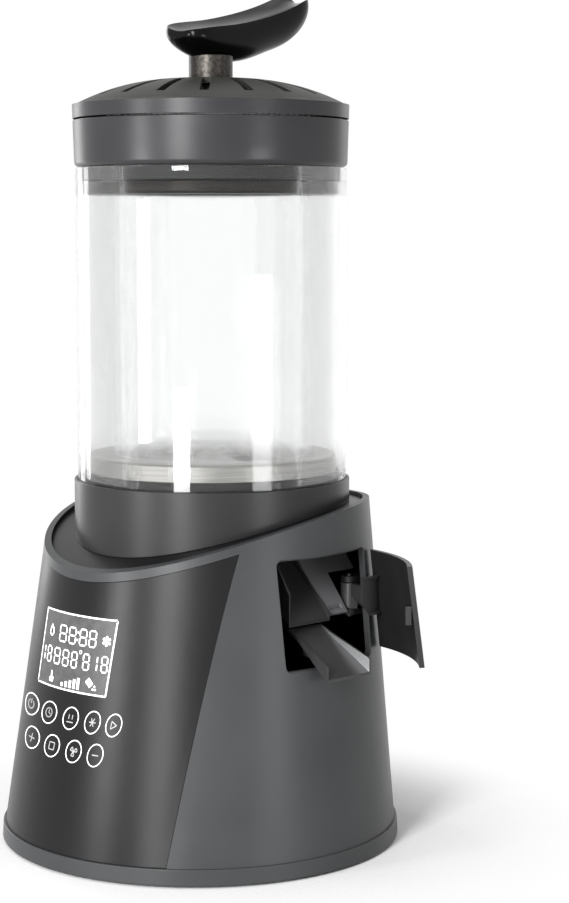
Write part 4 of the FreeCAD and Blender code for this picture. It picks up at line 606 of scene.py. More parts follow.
@dataclass
class Studio:
    """Camera, soft boxes, pale floor and white surroundings."""

    azimuth: float = 47.0
    distance: float = 1.07524
    eye: float = 0.30639
    pan: float = 1.932
    tilt: float = 6.0756
    focal: float = 86.03
    floor_radius: float = 6.0
    fade_start: float = 0.1
    fade_end: float = 0.2
    daylight: float = 0.34
    lamps: tuple[Lamp, ...] = (
        Lamp("key", -25, 0.32, 0.6, 42.0, 0.66),
        Lamp("key_low", -25, 0.32, 0.12, 42.0, 0.07),
        Lamp("panel_side", -58, 0.22, 0.26, 42.0, 0.2),
        Lamp("door_side", 42, 0.4, 0.3, 13.0, 0.1),
        Lamp("rim_left", -142, 0.3, 1.1, 4.2),
        Lamp("rim_right", 142, 0.3, 1.1, 0.6),
    )

    def directions(self) -> tuple[Vector, Vector]:
        """Returns the level directions towards the camera and to its right."""
        angle = radians(self.azimuth)
        return (Vector((sin(angle), -cos(angle), 0)),
                Vector((cos(angle), sin(angle), 0)))

    def place_camera(self) -> None:
        """Stands the camera where the photograph was taken from."""
        towards, right = self.directions()
        pan, tilt = radians(self.pan), radians(self.tilt)
        ahead = -towards * cos(pan) + right * sin(pan)
        side = right * cos(pan) + towards * sin(pan)
        look = ahead * cos(tilt) - Vector((0, 0, sin(tilt)))
        above = side.cross(look)
        data = bpy.data.cameras.new("camera")
        data.sensor_fit = "VERTICAL"
        data.sensor_height = 36.0
        data.lens = self.focal
        data.clip_start = 0.05
        camera = linked("camera", data)
        turn = Matrix((side, above, -look)).transposed().to_4x4()
        turn.translation = towards * self.distance + Vector((0, 0, self.eye))
        camera.matrix_world = turn
        bpy.context.scene.camera = camera

    def place_lamps(self) -> None:
        """Stands the soft boxes round the machine and one above it."""
        towards, right = self.directions()
        for lamp in self.lamps:
            angle = radians(lamp.turn)
            way = towards * cos(angle) + right * sin(angle)
            self.light(lamp, way * lamp.reach + Vector((0, 0, lamp.centre)), -way)
        self.light(Lamp("top", 0, 1.1, 1.1, 1.6), Vector((0, 0, 1.6)), Vector((0, 0, -1)))

    def light(self, lamp: Lamp, place: Vector, aim: Vector) -> None:
        """Adds one soft box.

        Args:
            lamp: Its sizes and radiance.
            place: Where it stands.
            aim: Where it points.
        """
        data = bpy.data.lights.new(lamp.name, "AREA")
        data.shape = "RECTANGLE"
        data.size, data.size_y = lamp.width, lamp.height
        data.energy = lamp.radiance * pi * lamp.width * lamp.height
        box = linked(lamp.name, data)
        box.matrix_world = Matrix.Translation(place) @ aim.to_track_quat("-Z", "Y").to_matrix().to_4x4()
        box.visible_camera = False
        box.visible_transmission = False

    def seen(self, tree: Any) -> Any:
        """Adds the test for rays that should meet the white surroundings.

        Args:
            tree: The node tree.

        Returns:
            A socket that is one for camera, mirror and glass rays.
        """
        path = add_node(tree, "ShaderNodeLightPath").outputs
        direct = sums(tree, "MAXIMUM", path["Is Camera Ray"], path["Is Transmission Ray"])
        return sums(tree, "MAXIMUM", direct, path["Is Glossy Ray"])

    def surroundings(self) -> None:
        """Makes the world white to the eye and a softer grey as a source of light."""
        world = bpy.data.worlds.new("studio")
        world.use_nodes = True
        tree = world.node_tree
        background = tree.nodes["Background"]
        background.inputs["Color"].default_value = (1, 1, 1, 1)
        step = add_node(tree, "ShaderNodeMapRange", {"To Min": self.daylight, "To Max": 1.0},
                        {"Value": self.seen(tree)})
        tree.links.new(step.outputs[0], background.inputs["Strength"])
        bpy.context.scene.world = world

    def floor(self) -> None:
        """Lays a pale round floor that keeps the shadow and fades into the white surroundings."""
        shape = bmesh.new()
        bmesh.ops.create_circle(shape, cap_ends=True, radius=self.floor_radius, segments=96)
        material, tree, shader, place = start_material("painted floor, rolled matt white")
        grain = noise(tree, place, 400.0)
        tree.links.new(blend_colours(tree, grain, "#f2f2f2", "#f6f6f6"), shader.inputs["Base Color"])
        constants(shader, {"Roughness": 0.8, "Specular IOR Level": 0.1})
        away = add_node(tree, "ShaderNodeVectorMath", {"operation": "LENGTH"}, {0: place})
        fade = add_node(tree, "ShaderNodeMapRange",
                        {"interpolation_type": "SMOOTHSTEP", "From Min": self.fade_start,
                         "From Max": self.fade_end}, {"Value": away.outputs["Value"]})
        share = sums(tree, "MULTIPLY", fade.outputs[0], self.seen(tree))
        white = add_node(tree, "ShaderNodeEmission", {"Color": (1, 1, 1, 1), "Strength": 1.0})
        mix = add_node(tree, "ShaderNodeMixShader", {}, {0: share, 1: shader.outputs[0], 2: white.outputs[0]})
        tree.links.new(mix.outputs[0], tree.nodes["Material Output"].inputs["Surface"])
        new_piece("floor", mesh_of("floor", shape), material)

    def build(self) -> None:
        """Sets up the whole studio."""
        bpy.context.scene.view_settings.view_transform = "Standard"
        self.place_camera()
        self.place_lamps()
        self.surroundings()
        self.floor()
        LOG.info("studio ready")


# ---- housing


@dataclass
class Housing:
    """The leaning cone, its foot, ledge and collar, and the mains inlet."""

    broken_edge: float = 0.5
    screen_half: float = 36.0
    screen_low: float = 39.0
    screen_high: float = 75.0
    screen_wall: float = 0.8
    screen_gap: float = 0.5
    wall_side: float = 40.0  # where the wall's bend is measured, beside the screen
    wall_top: float = 81.0
    wall_lean: float = 0.07
    steps: tuple[int, int] = (36, 6)

    def wall_at(self, wall: BVHTree, x: float, z: float) -> float:
        """Returns the Y of the rear wall's inner face, in millimetres as x and z are."""
        return wall.ray_cast(Vector((x * MM, 0.03, z * MM)), Vector((0, 1, 0)))[0].y / MM

    def dust_screen(self) -> None:
        """Lays a felt dust screen on the inner wall behind the rear vents."""
        wall = surface("body_shell")
        crown = self.wall_at(wall, 0.0, self.wall_top)
        wide, high = self.steps
        points, faces = [], []
        for level in range(high + 1):
            z = self.screen_low + (self.screen_high - self.screen_low) * level / high
            edge = self.wall_at(wall, self.wall_side, z)
            sag = crown + (self.wall_top - z) * self.wall_lean - edge
            for number in range(wide + 1):
                x = self.screen_half * (2 * number / wide - 1)
                y = edge + sag * (1 - (x / self.wall_side) ** 2) - self.screen_gap
                points.append((x * MM, y * MM, z * MM))
                if level < high and number < wide:
                    first = level * (wide + 1) + number
                    faces.append((first, first + wide + 1, first + wide + 2, first + 1))
        felt = bpy.data.meshes.new("dust_screen")
        felt.from_pydata(points, [], faces)
        felt.shade_smooth()
        piece = new_piece("dust_screen", felt, finish(Finish.FELT))
        sheet = piece.modifiers.new("felt_thickness", "SOLIDIFY")
        sheet.thickness = self.screen_wall * MM
        sheet.offset = -1.0
        settle(piece, "base", "pan_plastic")

    def build(self) -> None:
        """Dresses the housing from the table upward."""
        skin("foot_ring", "base", Finish.RUBBER, "foot_rubber", 0.3)
        skin("base_ring", "base", Finish.HOUSING, "housing_charcoal", self.broken_edge)
        skin("body_shell", "base", Finish.HOUSING, "housing_charcoal")
        skin("ledge_deck", "base", Finish.LEDGE, "housing_charcoal")
        skin("collar_ring", "base", Finish.COLLAR, "housing_charcoal", self.broken_edge)
        skin("power_inlet", "base", Finish.INNER, "pan_plastic", 0.3)
        self.dust_screen()
        dress("base_pan", Finish.PAN)
        dress("base_screws", Finish.SCREW)
        dress("inlet_pins", Finish.BRASS)


# ---- control panel


def ribbon(line: Flat, width: float, closed: bool = False, step: float = 1.2) -> list[Flat]:
    """Draws a line of even width as small flat quads.

    Args:
        line: Its points in millimetres.
        width: Its width in millimetres.
        closed: Whether it ends where it starts.
        step: Longest quad in millimetres.

    Returns:
        The quads.
    """
    ends = list(line) + ([line[0]] if closed else [])
    quads = []
    for (x0, z0), (x1, z1) in zip(ends, ends[1:]):
        length = hypot(x1 - x0, z1 - z0)
        across = (-(z1 - z0) / length * width / 2, (x1 - x0) / length * width / 2)
        count = max(1, ceil(length / step))
        for number in range(count):
            a, b = number / count, (number + 1) / count
            p = (x0 + (x1 - x0) * a, z0 + (z1 - z0) * a)
            q = (x0 + (x1 - x0) * b, z0 + (z1 - z0) * b)
            quads.append([(p[0] - across[0], p[1] - across[1]), (q[0] - across[0], q[1] - across[1]),
                          (q[0] + across[0], q[1] + across[1]), (p[0] + across[0], p[1] + across[1])])
    return quads


def arc(x: float, z: float, radius: float, start: float, stop: float, count: int = 20) -> Flat:
    """Returns the points of an arc; the angles are in degrees."""
    turns = [radians(start + (stop - start) * n / count) for n in range(count + 1)]
    return [(x + radius * cos(t), z + radius * sin(t)) for t in turns]


@dataclass
class ControlPanel:
    """Curved panel with the display, its symbols and nine touch marks."""

    top: float = 120.5
    bottom: float = 85.0
    left_top: float = -25.6
    left_bottom: float = -27.6
    width: float = 51.5
    frame_line: float = 0.75
    ink_lift: float = 0.07
    ring_radius: float = 5.25
    ring_width: float = 3.7
    ring_lean: float = 0.12
    curve_radius: float = 86.0
    facing: float = 47.0
    ring_line: float = 0.5
    ring_steps: int = 49
    sign_line: float = 0.5
    sign_share: float = 0.72
    bar_width: float = 0.75
    bar_gap: float = 0.3
    ring_places: tuple[Spot, ...] = (
        (-33.7, 72.4), (-12.9, 72.4), (4.3, 72.4), (18.3, 72.4), (29.9, 72.4),
        (-27.7, 57.5), (-7.4, 57.5), (8.7, 57.5), (21.9, 57.5),
    )

    def spread(self, x: float) -> float:
        """Returns how far x lies across the artwork, which is drawn for a slanting view."""
        turn = radians(self.facing)
        return x * cos(turn) - sin(turn) * sqrt(self.curve_radius ** 2 - x * x)

    def stretch(self, x: float) -> float:
        """Returns how much the artwork is widened at x, so that its marks look evenly wide."""
        return 0.5 / (self.spread(x + 0.25) - self.spread(x - 0.25))

    def at(self, across: float, down: float) -> Spot:
        """Finds a place on the display.

        Args:
            across: Fraction from its left edge.
            down: Fraction from its upper edge.

        Returns:
            The place in millimetres.
        """
        left = self.left_top + (self.left_bottom - self.left_top) * down
        low, high = left, left + self.width
        goal = self.spread(low) + across * (self.spread(high) - self.spread(low))
        for _ in range(24):
            middle = (low + high) / 2
            low, high = (middle, high) if self.spread(middle) < goal else (low, middle)
        return (low, self.top + (self.bottom - self.top) * down)

    def wrap(self, mesh: Mesh) -> None:
        """Lays a flat drawing on the curved face.

        Args:
            mesh: A drawing in the X-Z plane; it is changed in place.
        """
        trees = [surface(node) for node in ("control_panel", "display_lens")]
        for vertex in mesh.vertices:
            start = Vector((vertex.co.x, -0.3, vertex.co.z))
            hits = [tree.ray_cast(start, Vector((0, 1, 0)), 0.4) for tree in trees]
            found = [(hit[3], hit[0], hit[1]) for hit in hits if hit[0] is not None]
            if found:
                _, spot, normal = min(found, key=lambda item: item[0])
                vertex.co = spot + normal * self.ink_lift * MM

    def print_ink(self, name: str, mesh: Mesh, kind: Finish) -> None:
        """Wraps a drawing, gives it the thickness of a layer of ink and settles it.

        Args:
            name: The name of the piece.
            mesh: The flat drawing.
            kind: The ink.
        """
        self.wrap(mesh)
        piece = new_piece(name, mesh, finish(kind))
        layer = piece.modifiers.new("ink_layer", "SOLIDIFY")
        layer.thickness = 2 * self.ink_lift * MM
        layer.offset = -1.0
        settle(piece, "base", "display_parts")

    def drawing(self, name: str, shapes: list[Flat], kind: Finish) -> None:
        """Prints flat shapes on the panel.

        Args:
            name: The name of the piece.
            shapes: Outlines in millimetres.
            kind: The ink.
        """
        points: list[tuple[float, float, float]] = []
        faces = []
        for outline in shapes:
            area = sum(a[0] * b[1] - b[0] * a[1] for a, b in zip(outline, outline[1:] + outline[:1]))
            ordered = outline if area > 0 else outline[::-1]
            faces.append(list(range(len(points), len(points) + len(ordered))))
            points += [(x * MM, 0.0, z * MM) for x, z in ordered]
        mesh = bpy.data.meshes.new(name)
        mesh.from_pydata(points, [], faces)
        self.print_ink(name, mesh, kind)

    def digit(self, left: float, right: float, high: float, low: float, lit: str = "abcdefg") -> list[Flat]:
        """Draws one seven-bar number.

        Args:
            left: Left edge as a fraction of the display.
            right: Right edge.
            high: Upper edge.
            low: Lower edge.
            lit: The bars that show.

        Returns:
            The outlines of its bars.
        """
        (x0, z1), (x1, z0) = self.at(left, high), self.at(right, low)
        middle, gap, h = (z0 + z1) / 2, self.bar_gap, self.bar_width / 2
        bars = {
            "a": ((x0 + gap, z1), (x1 - gap, z1)), "g": ((x0 + gap, middle), (x1 - gap, middle)),
            "d": ((x0 + gap, z0), (x1 - gap, z0)), "f": ((x0, middle + gap), (x0, z1 - gap)),
            "b": ((x1, middle + gap), (x1, z1 - gap)), "e": ((x0, z0 + gap), (x0, middle - gap)),
            "c": ((x1, z0 + gap), (x1, middle - gap)),
        }
        shapes = []
        for bar in lit:
            (ax, az), (bx, bz) = bars[bar]
            length = hypot(bx - ax, bz - az)
            ux, uz = (bx - ax) / length, (bz - az) / length
            shapes.append([(ax, az), (ax + ux * h + uz * h, az + uz * h - ux * h),
                           (bx - ux * h + uz * h, bz - uz * h - ux * h), (bx, bz),
                           (bx - ux * h - uz * h, bz - uz * h + ux * h),
                           (ax + ux * h - uz * h, az + uz * h + ux * h)])
        return shapes

    def numbers(self) -> list[Flat]:
        """Returns the bars of both rows of numbers."""
        shapes = []
        for left, right in ((0.225, 0.325), (0.36, 0.46), (0.515, 0.615), (0.65, 0.75)):
            shapes += self.digit(left, right, 0.17, 0.38)
        for down in (0.22, 0.32):
            x, z = self.at(0.487, down)
            shapes.append(arc(x, z, 0.55, 0, 360, 8)[:-1])
        for left, right in ((0.085, 0.145), (0.19, 0.275), (0.315, 0.40), (0.44, 0.525), (0.61, 0.70),
                            (0.87, 0.96)):
            shapes += self.digit(left, right, 0.485, 0.69)
        for left in (0.045, 0.81):
            shapes += self.digit(left - 0.02, left + 0.005, 0.485, 0.69, "bc")
        x, z = self.at(0.56, 0.47)
        shapes += ribbon(arc(x, z, 0.8, 0, 360, 10)[:-1], 0.35, True)
        return shapes

    def symbols(self) -> list[Flat]:
        """Returns the flame, snow star, hand, rising bars and bag with its drops."""
        shapes = []
        x, z = self.at(0.11, 0.27)
        shapes += ribbon([(x, z - 2.6), (x - 1.7, z - 1.6), (x - 1.5, z + 0.2), (x - 0.2, z + 2.8),
                          (x + 0.5, z + 0.9), (x + 1.2, z + 1.4), (x + 1.7, z - 1.2)], 0.8, True)
        x, z = self.at(0.895, 0.28)
        for turn in range(0, 180, 60):
            c, s = 1.9 * cos(radians(turn + 30)), 1.9 * sin(radians(turn + 30))
            shapes += ribbon([(x - c, z - s), (x + c, z + s)], 0.45)
        for turn in range(0, 360, 60):
            t = radians(turn + 30)
            shapes.append(arc(x + 1.8 * cos(t), z + 1.8 * sin(t), 0.72, 0, 360, 8)[:-1])
        x, z = self.at(0.19, 0.87)
        shapes.append([(x - 1.5, z - 2.6), (x + 1.4, z - 2.6), (x + 2.0, z - 0.4), (x + 0.6, z + 0.1),
                       (x + 0.3, z + 2.7), (x - 0.5, z + 2.7), (x - 0.6, z - 0.3), (x - 2.0, z - 0.6)])
        for number in range(5):
            across = 0.34 + 0.058 * number
            (x0, z0), (x1, z1) = self.at(across, 0.965), self.at(across + 0.03, 0.915 - 0.026 * number)
            shapes.append([(x0, z0), (x1, z0), (x1, z1), (x0, z1)])
        x, z = self.at(0.745, 0.85)
        shapes.append([(x - 2.6, z + 0.3), (x + 0.3, z - 2.3), (x + 2.4, z - 0.2), (x - 0.4, z + 2.5)])
        for dx, dz in ((3.3, -1.4), (3.9, -2.8), (2.4, -2.8)):
            shapes.append(arc(x + dx, z + dz, 0.55, 0, 360, 8)[:-1])
        return shapes

    def touch_signs(self) -> list[Flat]:
        """Returns plain general symbols for the nine touch marks."""
        level, upright = [(-2.1, 0.0), (2.1, 0.0)], [(0.0, -2.1), (0.0, 2.1)]
        star = [[(-2.2 * cos(turn), -2.2 * sin(turn)), (2.2 * cos(turn), 2.2 * sin(turn))]
                for turn in map(radians, (0, 60, 120))]
        blades = [[(0.0, 0.0)] + arc(0, 0, 2.3, start, start + 50, 5) for start in (0, 120, 240)]
        signs: tuple = (  # the open and the closed lines of each sign about the middle of its ring
            ([arc(0, 0, 2.1, 120, 420), [(0.0, 0.4), (0.0, 2.7)]], []),
            ([[(0.0, 1.4), (0.0, 0.0), (1.2, -0.6)]], [arc(0, 0, 2.2, 0, 360)[:-1]]),
            ([[(-2.2, -1.8), (2.2, -1.8)], [(-1.2, -0.4), (-1.2, 1.8)], [(1.2, -0.4), (1.2, 1.8)]], []),
            (star, []),
            ([], [[(-1.6, -1.8), (2.0, 0.0), (-1.6, 1.8)]]),
            ([level, upright], []),
            ([], [[(-1.7, -1.7), (1.7, -1.7), (1.7, 1.7), (-1.7, 1.7)]]),
            ([], blades),
            ([level], []),
        )
        shapes = []
        for (x, z), (opened, closed) in zip(self.ring_places, signs):
            for lines, joined in ((opened, False), (closed, True)):
                for line in lines:
                    shapes += ribbon([(x + dx, z + dz) for dx, dz in line], self.sign_line, joined)
        return shapes

    def ring_near(self, x: float, z: float) -> Spot:
        """Returns the middle of the ring nearest to a place in millimetres."""
        return min(self.ring_places, key=lambda spot: hypot(spot[0] - x, spot[1] - z))

    def widened(self, outline: Flat) -> Flat:
        """Widens a sign about the ring it stands in, as the ring itself is.

        Args:
            outline: One shape of the sign.

        Returns:
            The same shape, widened.
        """
        middle, level = self.ring_near(*outline[0])
        factor, lean = self.sign_share * self.stretch(middle), self.ring_lean * self.stretch(middle)
        return [(middle + (x - middle) * factor + (z - level) * lean, z) for x, z in outline]

    def lean(self, mesh: Mesh) -> None:
        """Leans each ring of the flat drawing as the artwork does.

        Args:
            mesh: The flat drawing; it is changed in place.
        """
        for vertex in mesh.vertices:
            x, z = vertex.co.x / MM, vertex.co.z / MM
            middle, level = self.ring_near(x, z)
            vertex.co.x += (z - level) * self.ring_lean * self.stretch(middle) * MM

    def rings(self) -> Mesh:
        """Grows the nine rings on their places with a geometry tree.

        Returns:
            The flat mesh.
        """
        tree, given = new_tree("touch_rings", ("Radius", "Line"))
        add, calc = partial(add_node, tree), partial(sums, tree)
        places = bpy.data.meshes.new("ring_places")
        places.from_pydata([(x * MM, 0.0, z * MM) for x, z in self.ring_places], [], [])
        widths = places.attributes.new("widening", "FLOAT", "POINT")
        share = self.ring_width / self.ring_radius
        widths.data.foreach_set("value", [self.stretch(x) * share for x, _ in self.ring_places])
        marker = bpy.data.objects.new("ring_places", places)
        source = add("GeometryNodeObjectInfo", {"Object": marker})
        strip = add("GeometryNodeMeshGrid", {"Size X": 2 * pi, "Vertices X": self.ring_steps, "Vertices Y": 2},
                    {"Size Y": given.outputs["Line"]})
        spot = add("ShaderNodeSeparateXYZ", {}, {0: add("GeometryNodeInputPosition").outputs[0]})
        reach = calc("ADD", spot.outputs[1], given.outputs["Radius"])
        turn = calc("MULTIPLY", spot.outputs[0], -1.0)
        bent = add("ShaderNodeCombineXYZ", {}, {
            0: calc("MULTIPLY", reach, calc("COSINE", turn)),
            2: calc("MULTIPLY", reach, calc("SINE", turn))})
        ring = add("GeometryNodeSetPosition", {}, {"Geometry": strip.outputs[0], "Position": bent.outputs[0]})
        joined = add("GeometryNodeMergeByDistance", {"Distance": 1e-6}, {"Geometry": ring.outputs[0]})
        widening = add("GeometryNodeInputNamedAttribute", {"data_type": "FLOAT", "Name": "widening"})
        scale = add("ShaderNodeCombineXYZ", {1: 1.0, 2: 1.0}, {0: widening.outputs[0]})
        spread = add("GeometryNodeInstanceOnPoints", {}, {
            "Points": source.outputs["Geometry"], "Instance": joined.outputs[0], "Scale": scale.outputs[0]})
        close_tree(tree, spread.outputs[0], given.outputs["Finish"])
        mesh = grown("touch_rings", tree, {
            "Radius": self.ring_radius * MM, "Line": self.ring_line * MM, "Finish": finish(Finish.INK)})
        bpy.data.objects.remove(marker)
        self.lean(mesh)
        return mesh

    def build(self) -> None:
        """Dresses the panel and prints all its marks."""
        skin("control_panel", "base", Finish.PANEL, "panel_gloss", 0.4)
        skin("display_lens", "base", Finish.LENS, "display_lens")
        dress("display_module", Finish.MODULE)
        dress("touch_board", Finish.BOARD)
        dress("main_board", Finish.BOARD)
        corners = [self.at(0, 0), self.at(0, 1), self.at(1, 1), self.at(1, 0)]
        # the frame and the touch rings are print, yet take the glowing ink: painted glow
        self.drawing("display_frame", ribbon(corners, self.frame_line, True), Finish.INK)
        self.drawing("display_numbers", self.numbers(), Finish.INK)
        self.drawing("display_symbols", self.symbols(), Finish.INK)
        signs = [self.widened(outline) for outline in self.touch_signs()]
        self.drawing("touch_signs", signs, Finish.DIM_INK)
        self.print_ink("touch_rings", self.rings(), Finish.INK)


# ---- inside


@dataclass
class HotAirSystem:
    """Blower, heater, duct and sensors inside the housing."""

    finishes: tuple[tuple[str, Finish], ...] = (
        ("blower_motor", Finish.STEEL), ("blower_mount", Finish.STEEL), ("blower_housing", Finish.FAN),
        ("blower_impeller", Finish.FAN), ("heater_case", Finish.STEEL), ("heater_frame", Finish.MICA),
        ("heater_coil", Finish.WIRE), ("air_duct", Finish.STEEL), ("thermal_cutout", Finish.MODULE),
        ("temperature_probe", Finish.ROD),
    )

    def build(self) -> None:
        """Dresses each solid; their shapes are right as they are."""
        for node, kind in self.finishes:
            dress(node, kind)


@dataclass
class RoastingChamber:
    """The two glass tubes, the perforated floor and their seals."""

    def build(self) -> None:
        """Dresses the chamber from the floor up."""
        skin("chamber_floor", "base", Finish.FLOOR, "floor_metal", 0.3)
        skin("outer_glass", "base", Finish.GLASS, "clear_glass", 0.6)
        skin("inner_glass", "base", Finish.GLASS, "clear_glass", 0.5)
        dress("glass_gasket", Finish.RUBBER)
        dress("floor_seal", Finish.RUBBER)
        dress("discharge_tube", Finish.STEEL)


@dataclass
class Discharge:
    """Gate, trough, sliding tray and swinging door of the outlet."""

    broken_edge: float = 0.25
    ridge_line: float = 190.0
    cut_start: float = 44.0
    cut_stop: float = 80.0
    cut_above: float = 175.0
    plate_foot: Spot = (70.0, 116.6)
    plate_head: Spot = (42.6, 151.9)
    plate_left: float = 10.7
    plate_right: float = 44.0
    notch_side: float = 25.2
    notch_height: float = 134.8
    plate_wall: float = 1.5
    # faces of the tray's right wall that get the painted highlight: beyond this side, and facing left at least
    # this much
    lit_wall_side: float = 4.0
    lit_wall_slope: float = -0.35
    wall_near: float = 6.0
    wall_far: float = 12.0
    slot_box: tuple[float, float, float, float] = (14.5, 23.0, 118.4, 120.6)

    def lower_wall(self) -> None:
        """Cuts the trough's right wall down to a low ridge beside the plate."""
        trough = skin("discharge_trough", "base", Finish.TROUGH, "chute_plastic")
        start, stop, above = self.cut_start, self.cut_stop, self.cut_above
        outline = [(start, self.ridge_line - start), (stop, self.ridge_line - stop), (stop, above),
                   (start, above)]
        face = [Vector((x, self.wall_near, z)) * MM for x, z in outline]
        carve(trough, prism(face, Vector((0, self.wall_far - self.wall_near, 0)) * MM), self.broken_edge)

    def plate(self) -> None:
        """Builds the sloping plate beside the trough, notched for the hinge, with its recessed slot."""
        (x0, z0), (x1, z1) = self.plate_foot, self.plate_head
        share = (self.notch_height - z0) / (z1 - z0)
        notch_x = x0 + (x1 - x0) * share
        corners = [(x0, self.plate_left, z0), (x0, self.notch_side, z0),
                   (notch_x, self.notch_side, self.notch_height),
                   (notch_x, self.plate_right, self.notch_height), (x1, self.plate_right, z1),
                   (x1, self.plate_left, z1)]
        length = hypot(x1 - x0, z1 - z0)
        back = Vector(((z0 - z1) / length, 0, (x1 - x0) / length)) * self.plate_wall * MM
        mesh = mesh_of("sloping_plate", prism([Vector(corner) * MM for corner in corners], back))
        piece = new_piece("sloping_plate", mesh, finish(Finish.PLATE))
        left, right, low, high = self.slot_box
        bed = bmesh.new()
        bmesh.ops.create_cube(bed, size=1.0)
        spot = Vector(((x0 + (x1 - x0) * ((low + high) / 2 - z0) / (z1 - z0)) * MM,
                       (left + right) / 2 * MM, (low + high) / 2 * MM))
        for vertex in bed.verts:
            vertex.co = Vector((vertex.co.x * 2.0, vertex.co.y * (right - left),
                                vertex.co.z * (high - low))) * MM + spot
        carve(piece, bed, self.broken_edge)
        settle(piece, "base", "chute_plastic", "deflector_plate")

    def build(self) -> None:
        """Dresses the outlet along the way that the load runs."""
        dress("gate_flap", Finish.STEEL)
        dress("gate_shaft", Finish.ROD)
        dress("gate_motor", Finish.FAN)
        edge = self.broken_edge
        self.lower_wall()
        self.plate()
        tray = skin("chute_tray", "tray", Finish.CHUTE, "chute_plastic", edge)
        # painted highlight: the inner faces of the tray's right wall get bright steel for the light that falls
        # on them
        tray.data.materials.append(finish(Finish.LIT_WALL_STEEL))
        for face in tray.data.polygons:
            if face.center.y > self.lit_wall_side * MM and face.normal.y < self.lit_wall_slope:
                face.material_index = 1
        skin("tray_rail", "base", Finish.INNER, "chute_plastic")
        skin("door_panel", "door", Finish.DOOR, "housing_charcoal", edge)
        skin("door_arm", "door", Finish.CHUTE, "housing_charcoal", edge)
        skin("door_latch", "door", Finish.DOOR, "housing_charcoal", edge)
        skin("hinge_pin", "base", Finish.ROD, "chute_plastic")
        skin("hinge_bracket", "base", Finish.INNER, "chute_plastic", edge)


# ---- lid and handle


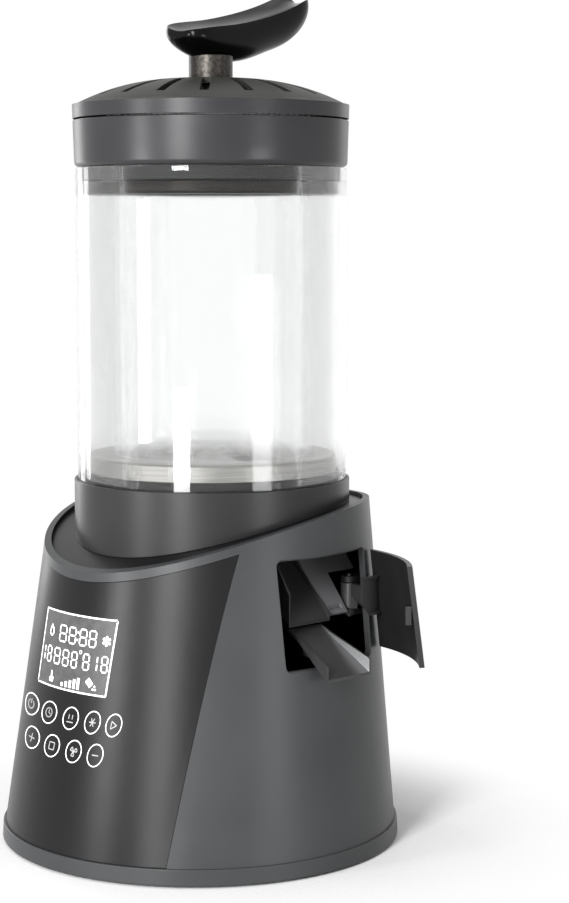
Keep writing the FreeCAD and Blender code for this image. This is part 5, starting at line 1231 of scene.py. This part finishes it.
@dataclass
class Lid:
    """Lid ring, slotted dome, woven mesh, plug and its gasket."""

    band_radius: float = 66.8
    band_slope: float = 0.6
    mesh_radius: float = 64.2
    mesh_middle: float = 360.2
    wire: float = 0.22
    pitch: float = 2.2
    weave: float = 0.16
    wire_steps: int = 90
    wire_sides: int = 5

    def weave_tree(self) -> bpy.types.NodeTree:
        """Builds the tree of one family of wires, each as long as its chord of the round mesh.

        Returns:
            The tree.
        """
        tree, given = new_tree("woven_wires", ("Radius", "Pitch", "Wire", "Weave", "Turn", "Phase", "Height"))
        add, calc = partial(add_node, tree), partial(sums, tree)
        sockets = given.outputs
        count = calc("FLOOR", calc("DIVIDE", sockets["Radius"], sockets["Pitch"]))
        total = calc("ADD", calc("MULTIPLY", count, 2.0), -1.0)
        start = calc("MULTIPLY", calc("SUBTRACT", 1.0, count), sockets["Pitch"])
        first = add("ShaderNodeCombineXYZ", {}, {0: start})
        stride = add("ShaderNodeCombineXYZ", {}, {0: sockets["Pitch"]})
        row = add("GeometryNodeMeshLine", {"mode": "OFFSET"}, {
            "Count": total, "Start Location": first.outputs[0], "Offset": stride.outputs[0]})
        spot = add("ShaderNodeSeparateXYZ", {}, {0: add("GeometryNodeInputPosition").outputs[0]})
        square = calc("SUBTRACT", calc("MULTIPLY", sockets["Radius"], sockets["Radius"]),
                      calc("MULTIPLY", spot.outputs[0], spot.outputs[0]))
        chord = add("ShaderNodeCombineXYZ", {0: 1.0, 2: 1.0}, {1: calc("SQRT", square)})
        line = add("GeometryNodeCurvePrimitiveLine", {"Start": (0, -1, 0), "End": (0, 1, 0)})
        wires = add("GeometryNodeInstanceOnPoints", {}, {
            "Points": row.outputs[0], "Instance": line.outputs[0], "Scale": chord.outputs[0]})
        real = add("GeometryNodeRealizeInstances", {}, {0: wires.outputs[0]})
        fine = add("GeometryNodeResampleCurve", {"Count": self.wire_steps}, {"Curve": real.outputs[0]})
        steps = calc("DIVIDE", spot.outputs[1], sockets["Pitch"])
        order = calc("ROUND", calc("DIVIDE", spot.outputs[0], sockets["Pitch"]))
        beat = calc("ADD", calc("ADD", steps, order), sockets["Phase"])
        angle = calc("MULTIPLY", beat, pi)
        lift = calc("MULTIPLY", calc("SINE", angle), sockets["Weave"])
        rise = add("ShaderNodeCombineXYZ", {}, {2: calc("ADD", lift, sockets["Height"])})
        waved = add("GeometryNodeSetPosition", {}, {"Geometry": fine.outputs[0], "Offset": rise.outputs[0]})
        profile = add("GeometryNodeCurvePrimitiveCircle", {"Resolution": self.wire_sides},
                      {"Radius": sockets["Wire"]})
        solid = add("GeometryNodeCurveToMesh", {"Fill Caps": True},
                    {"Curve": waved.outputs[0], "Profile Curve": profile.outputs[0]})
        turn = add("ShaderNodeCombineXYZ", {}, {2: sockets["Turn"]})
        turned = add("GeometryNodeTransform", {}, {"Geometry": solid.outputs[0], "Rotation": turn.outputs[0]})
        close_tree(tree, turned.outputs[0], sockets["Finish"])
        return tree

    def woven_mesh(self) -> None:
        """Weaves the wire mesh under the slots in place of its plain disc."""
        tree = self.weave_tree()
        sizes = {"Radius": self.mesh_radius * MM, "Pitch": self.pitch * MM, "Wire": self.wire * MM,
                 "Weave": self.weave * MM, "Height": self.mesh_middle * MM, "Finish": finish(Finish.MESH)}
        shape = bmesh.new()
        for turn, phase in ((0.0, 0.0), (pi / 2, 1.0)):
            shape.from_mesh(grown("wires", tree, {**sizes, "Turn": turn, "Phase": phase}))
        mesh = mesh_of("lid_mesh_woven", shape)
        mesh.shade_smooth()
        settle(new_piece("lid_mesh_woven", mesh, finish(Finish.MESH)), "lid", "mesh_steel", "lid_mesh")

    def build(self) -> None:
        """Dresses the lid."""
        skin("lid_ring", "lid", Finish.LID, "lid_grey", 0.5)
        cover = skin("lid_cover", "lid", Finish.DOME, "lid_dome", 0.3)
        cover.data.materials.append(finish(Finish.LID))
        for face in cover.data.polygons:
            if face.center.to_2d().length > self.band_radius * MM and abs(face.normal.z) < self.band_slope:
                face.material_index = 1
        skin("lid_plug", "lid", Finish.PLUG, "plug_metal", 0.4)
        skin("lid_gasket", "lid", Finish.RUBBER, "seal_rubber", 0.2)
        self.woven_mesh()


@dataclass
class Handle:
    """Turned stem and polished grip on the lid."""

    def build(self) -> None:
        """Dresses the handle."""
        skin("handle_stem", "lid", Finish.STEM, "stem_metal", 0.4)
        skin("handle_grip", "lid", Finish.GRIP, "grip_gloss", 0.0, 50.0)
        dress("handle_screw", Finish.SCREW)


# ---- making


def main() -> None:
    """Builds the studio and the machine in order."""
    logging.basicConfig(level=logging.INFO, format="%(name)s: %(message)s")
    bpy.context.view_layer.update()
    for part in (Studio(), Housing(), ControlPanel(), HotAirSystem(), RoastingChamber(), Discharge(),
                 Lid(), Handle()):
        part.build()
    bpy.context.view_layer.update()


if __name__ == "__main__":
    main()
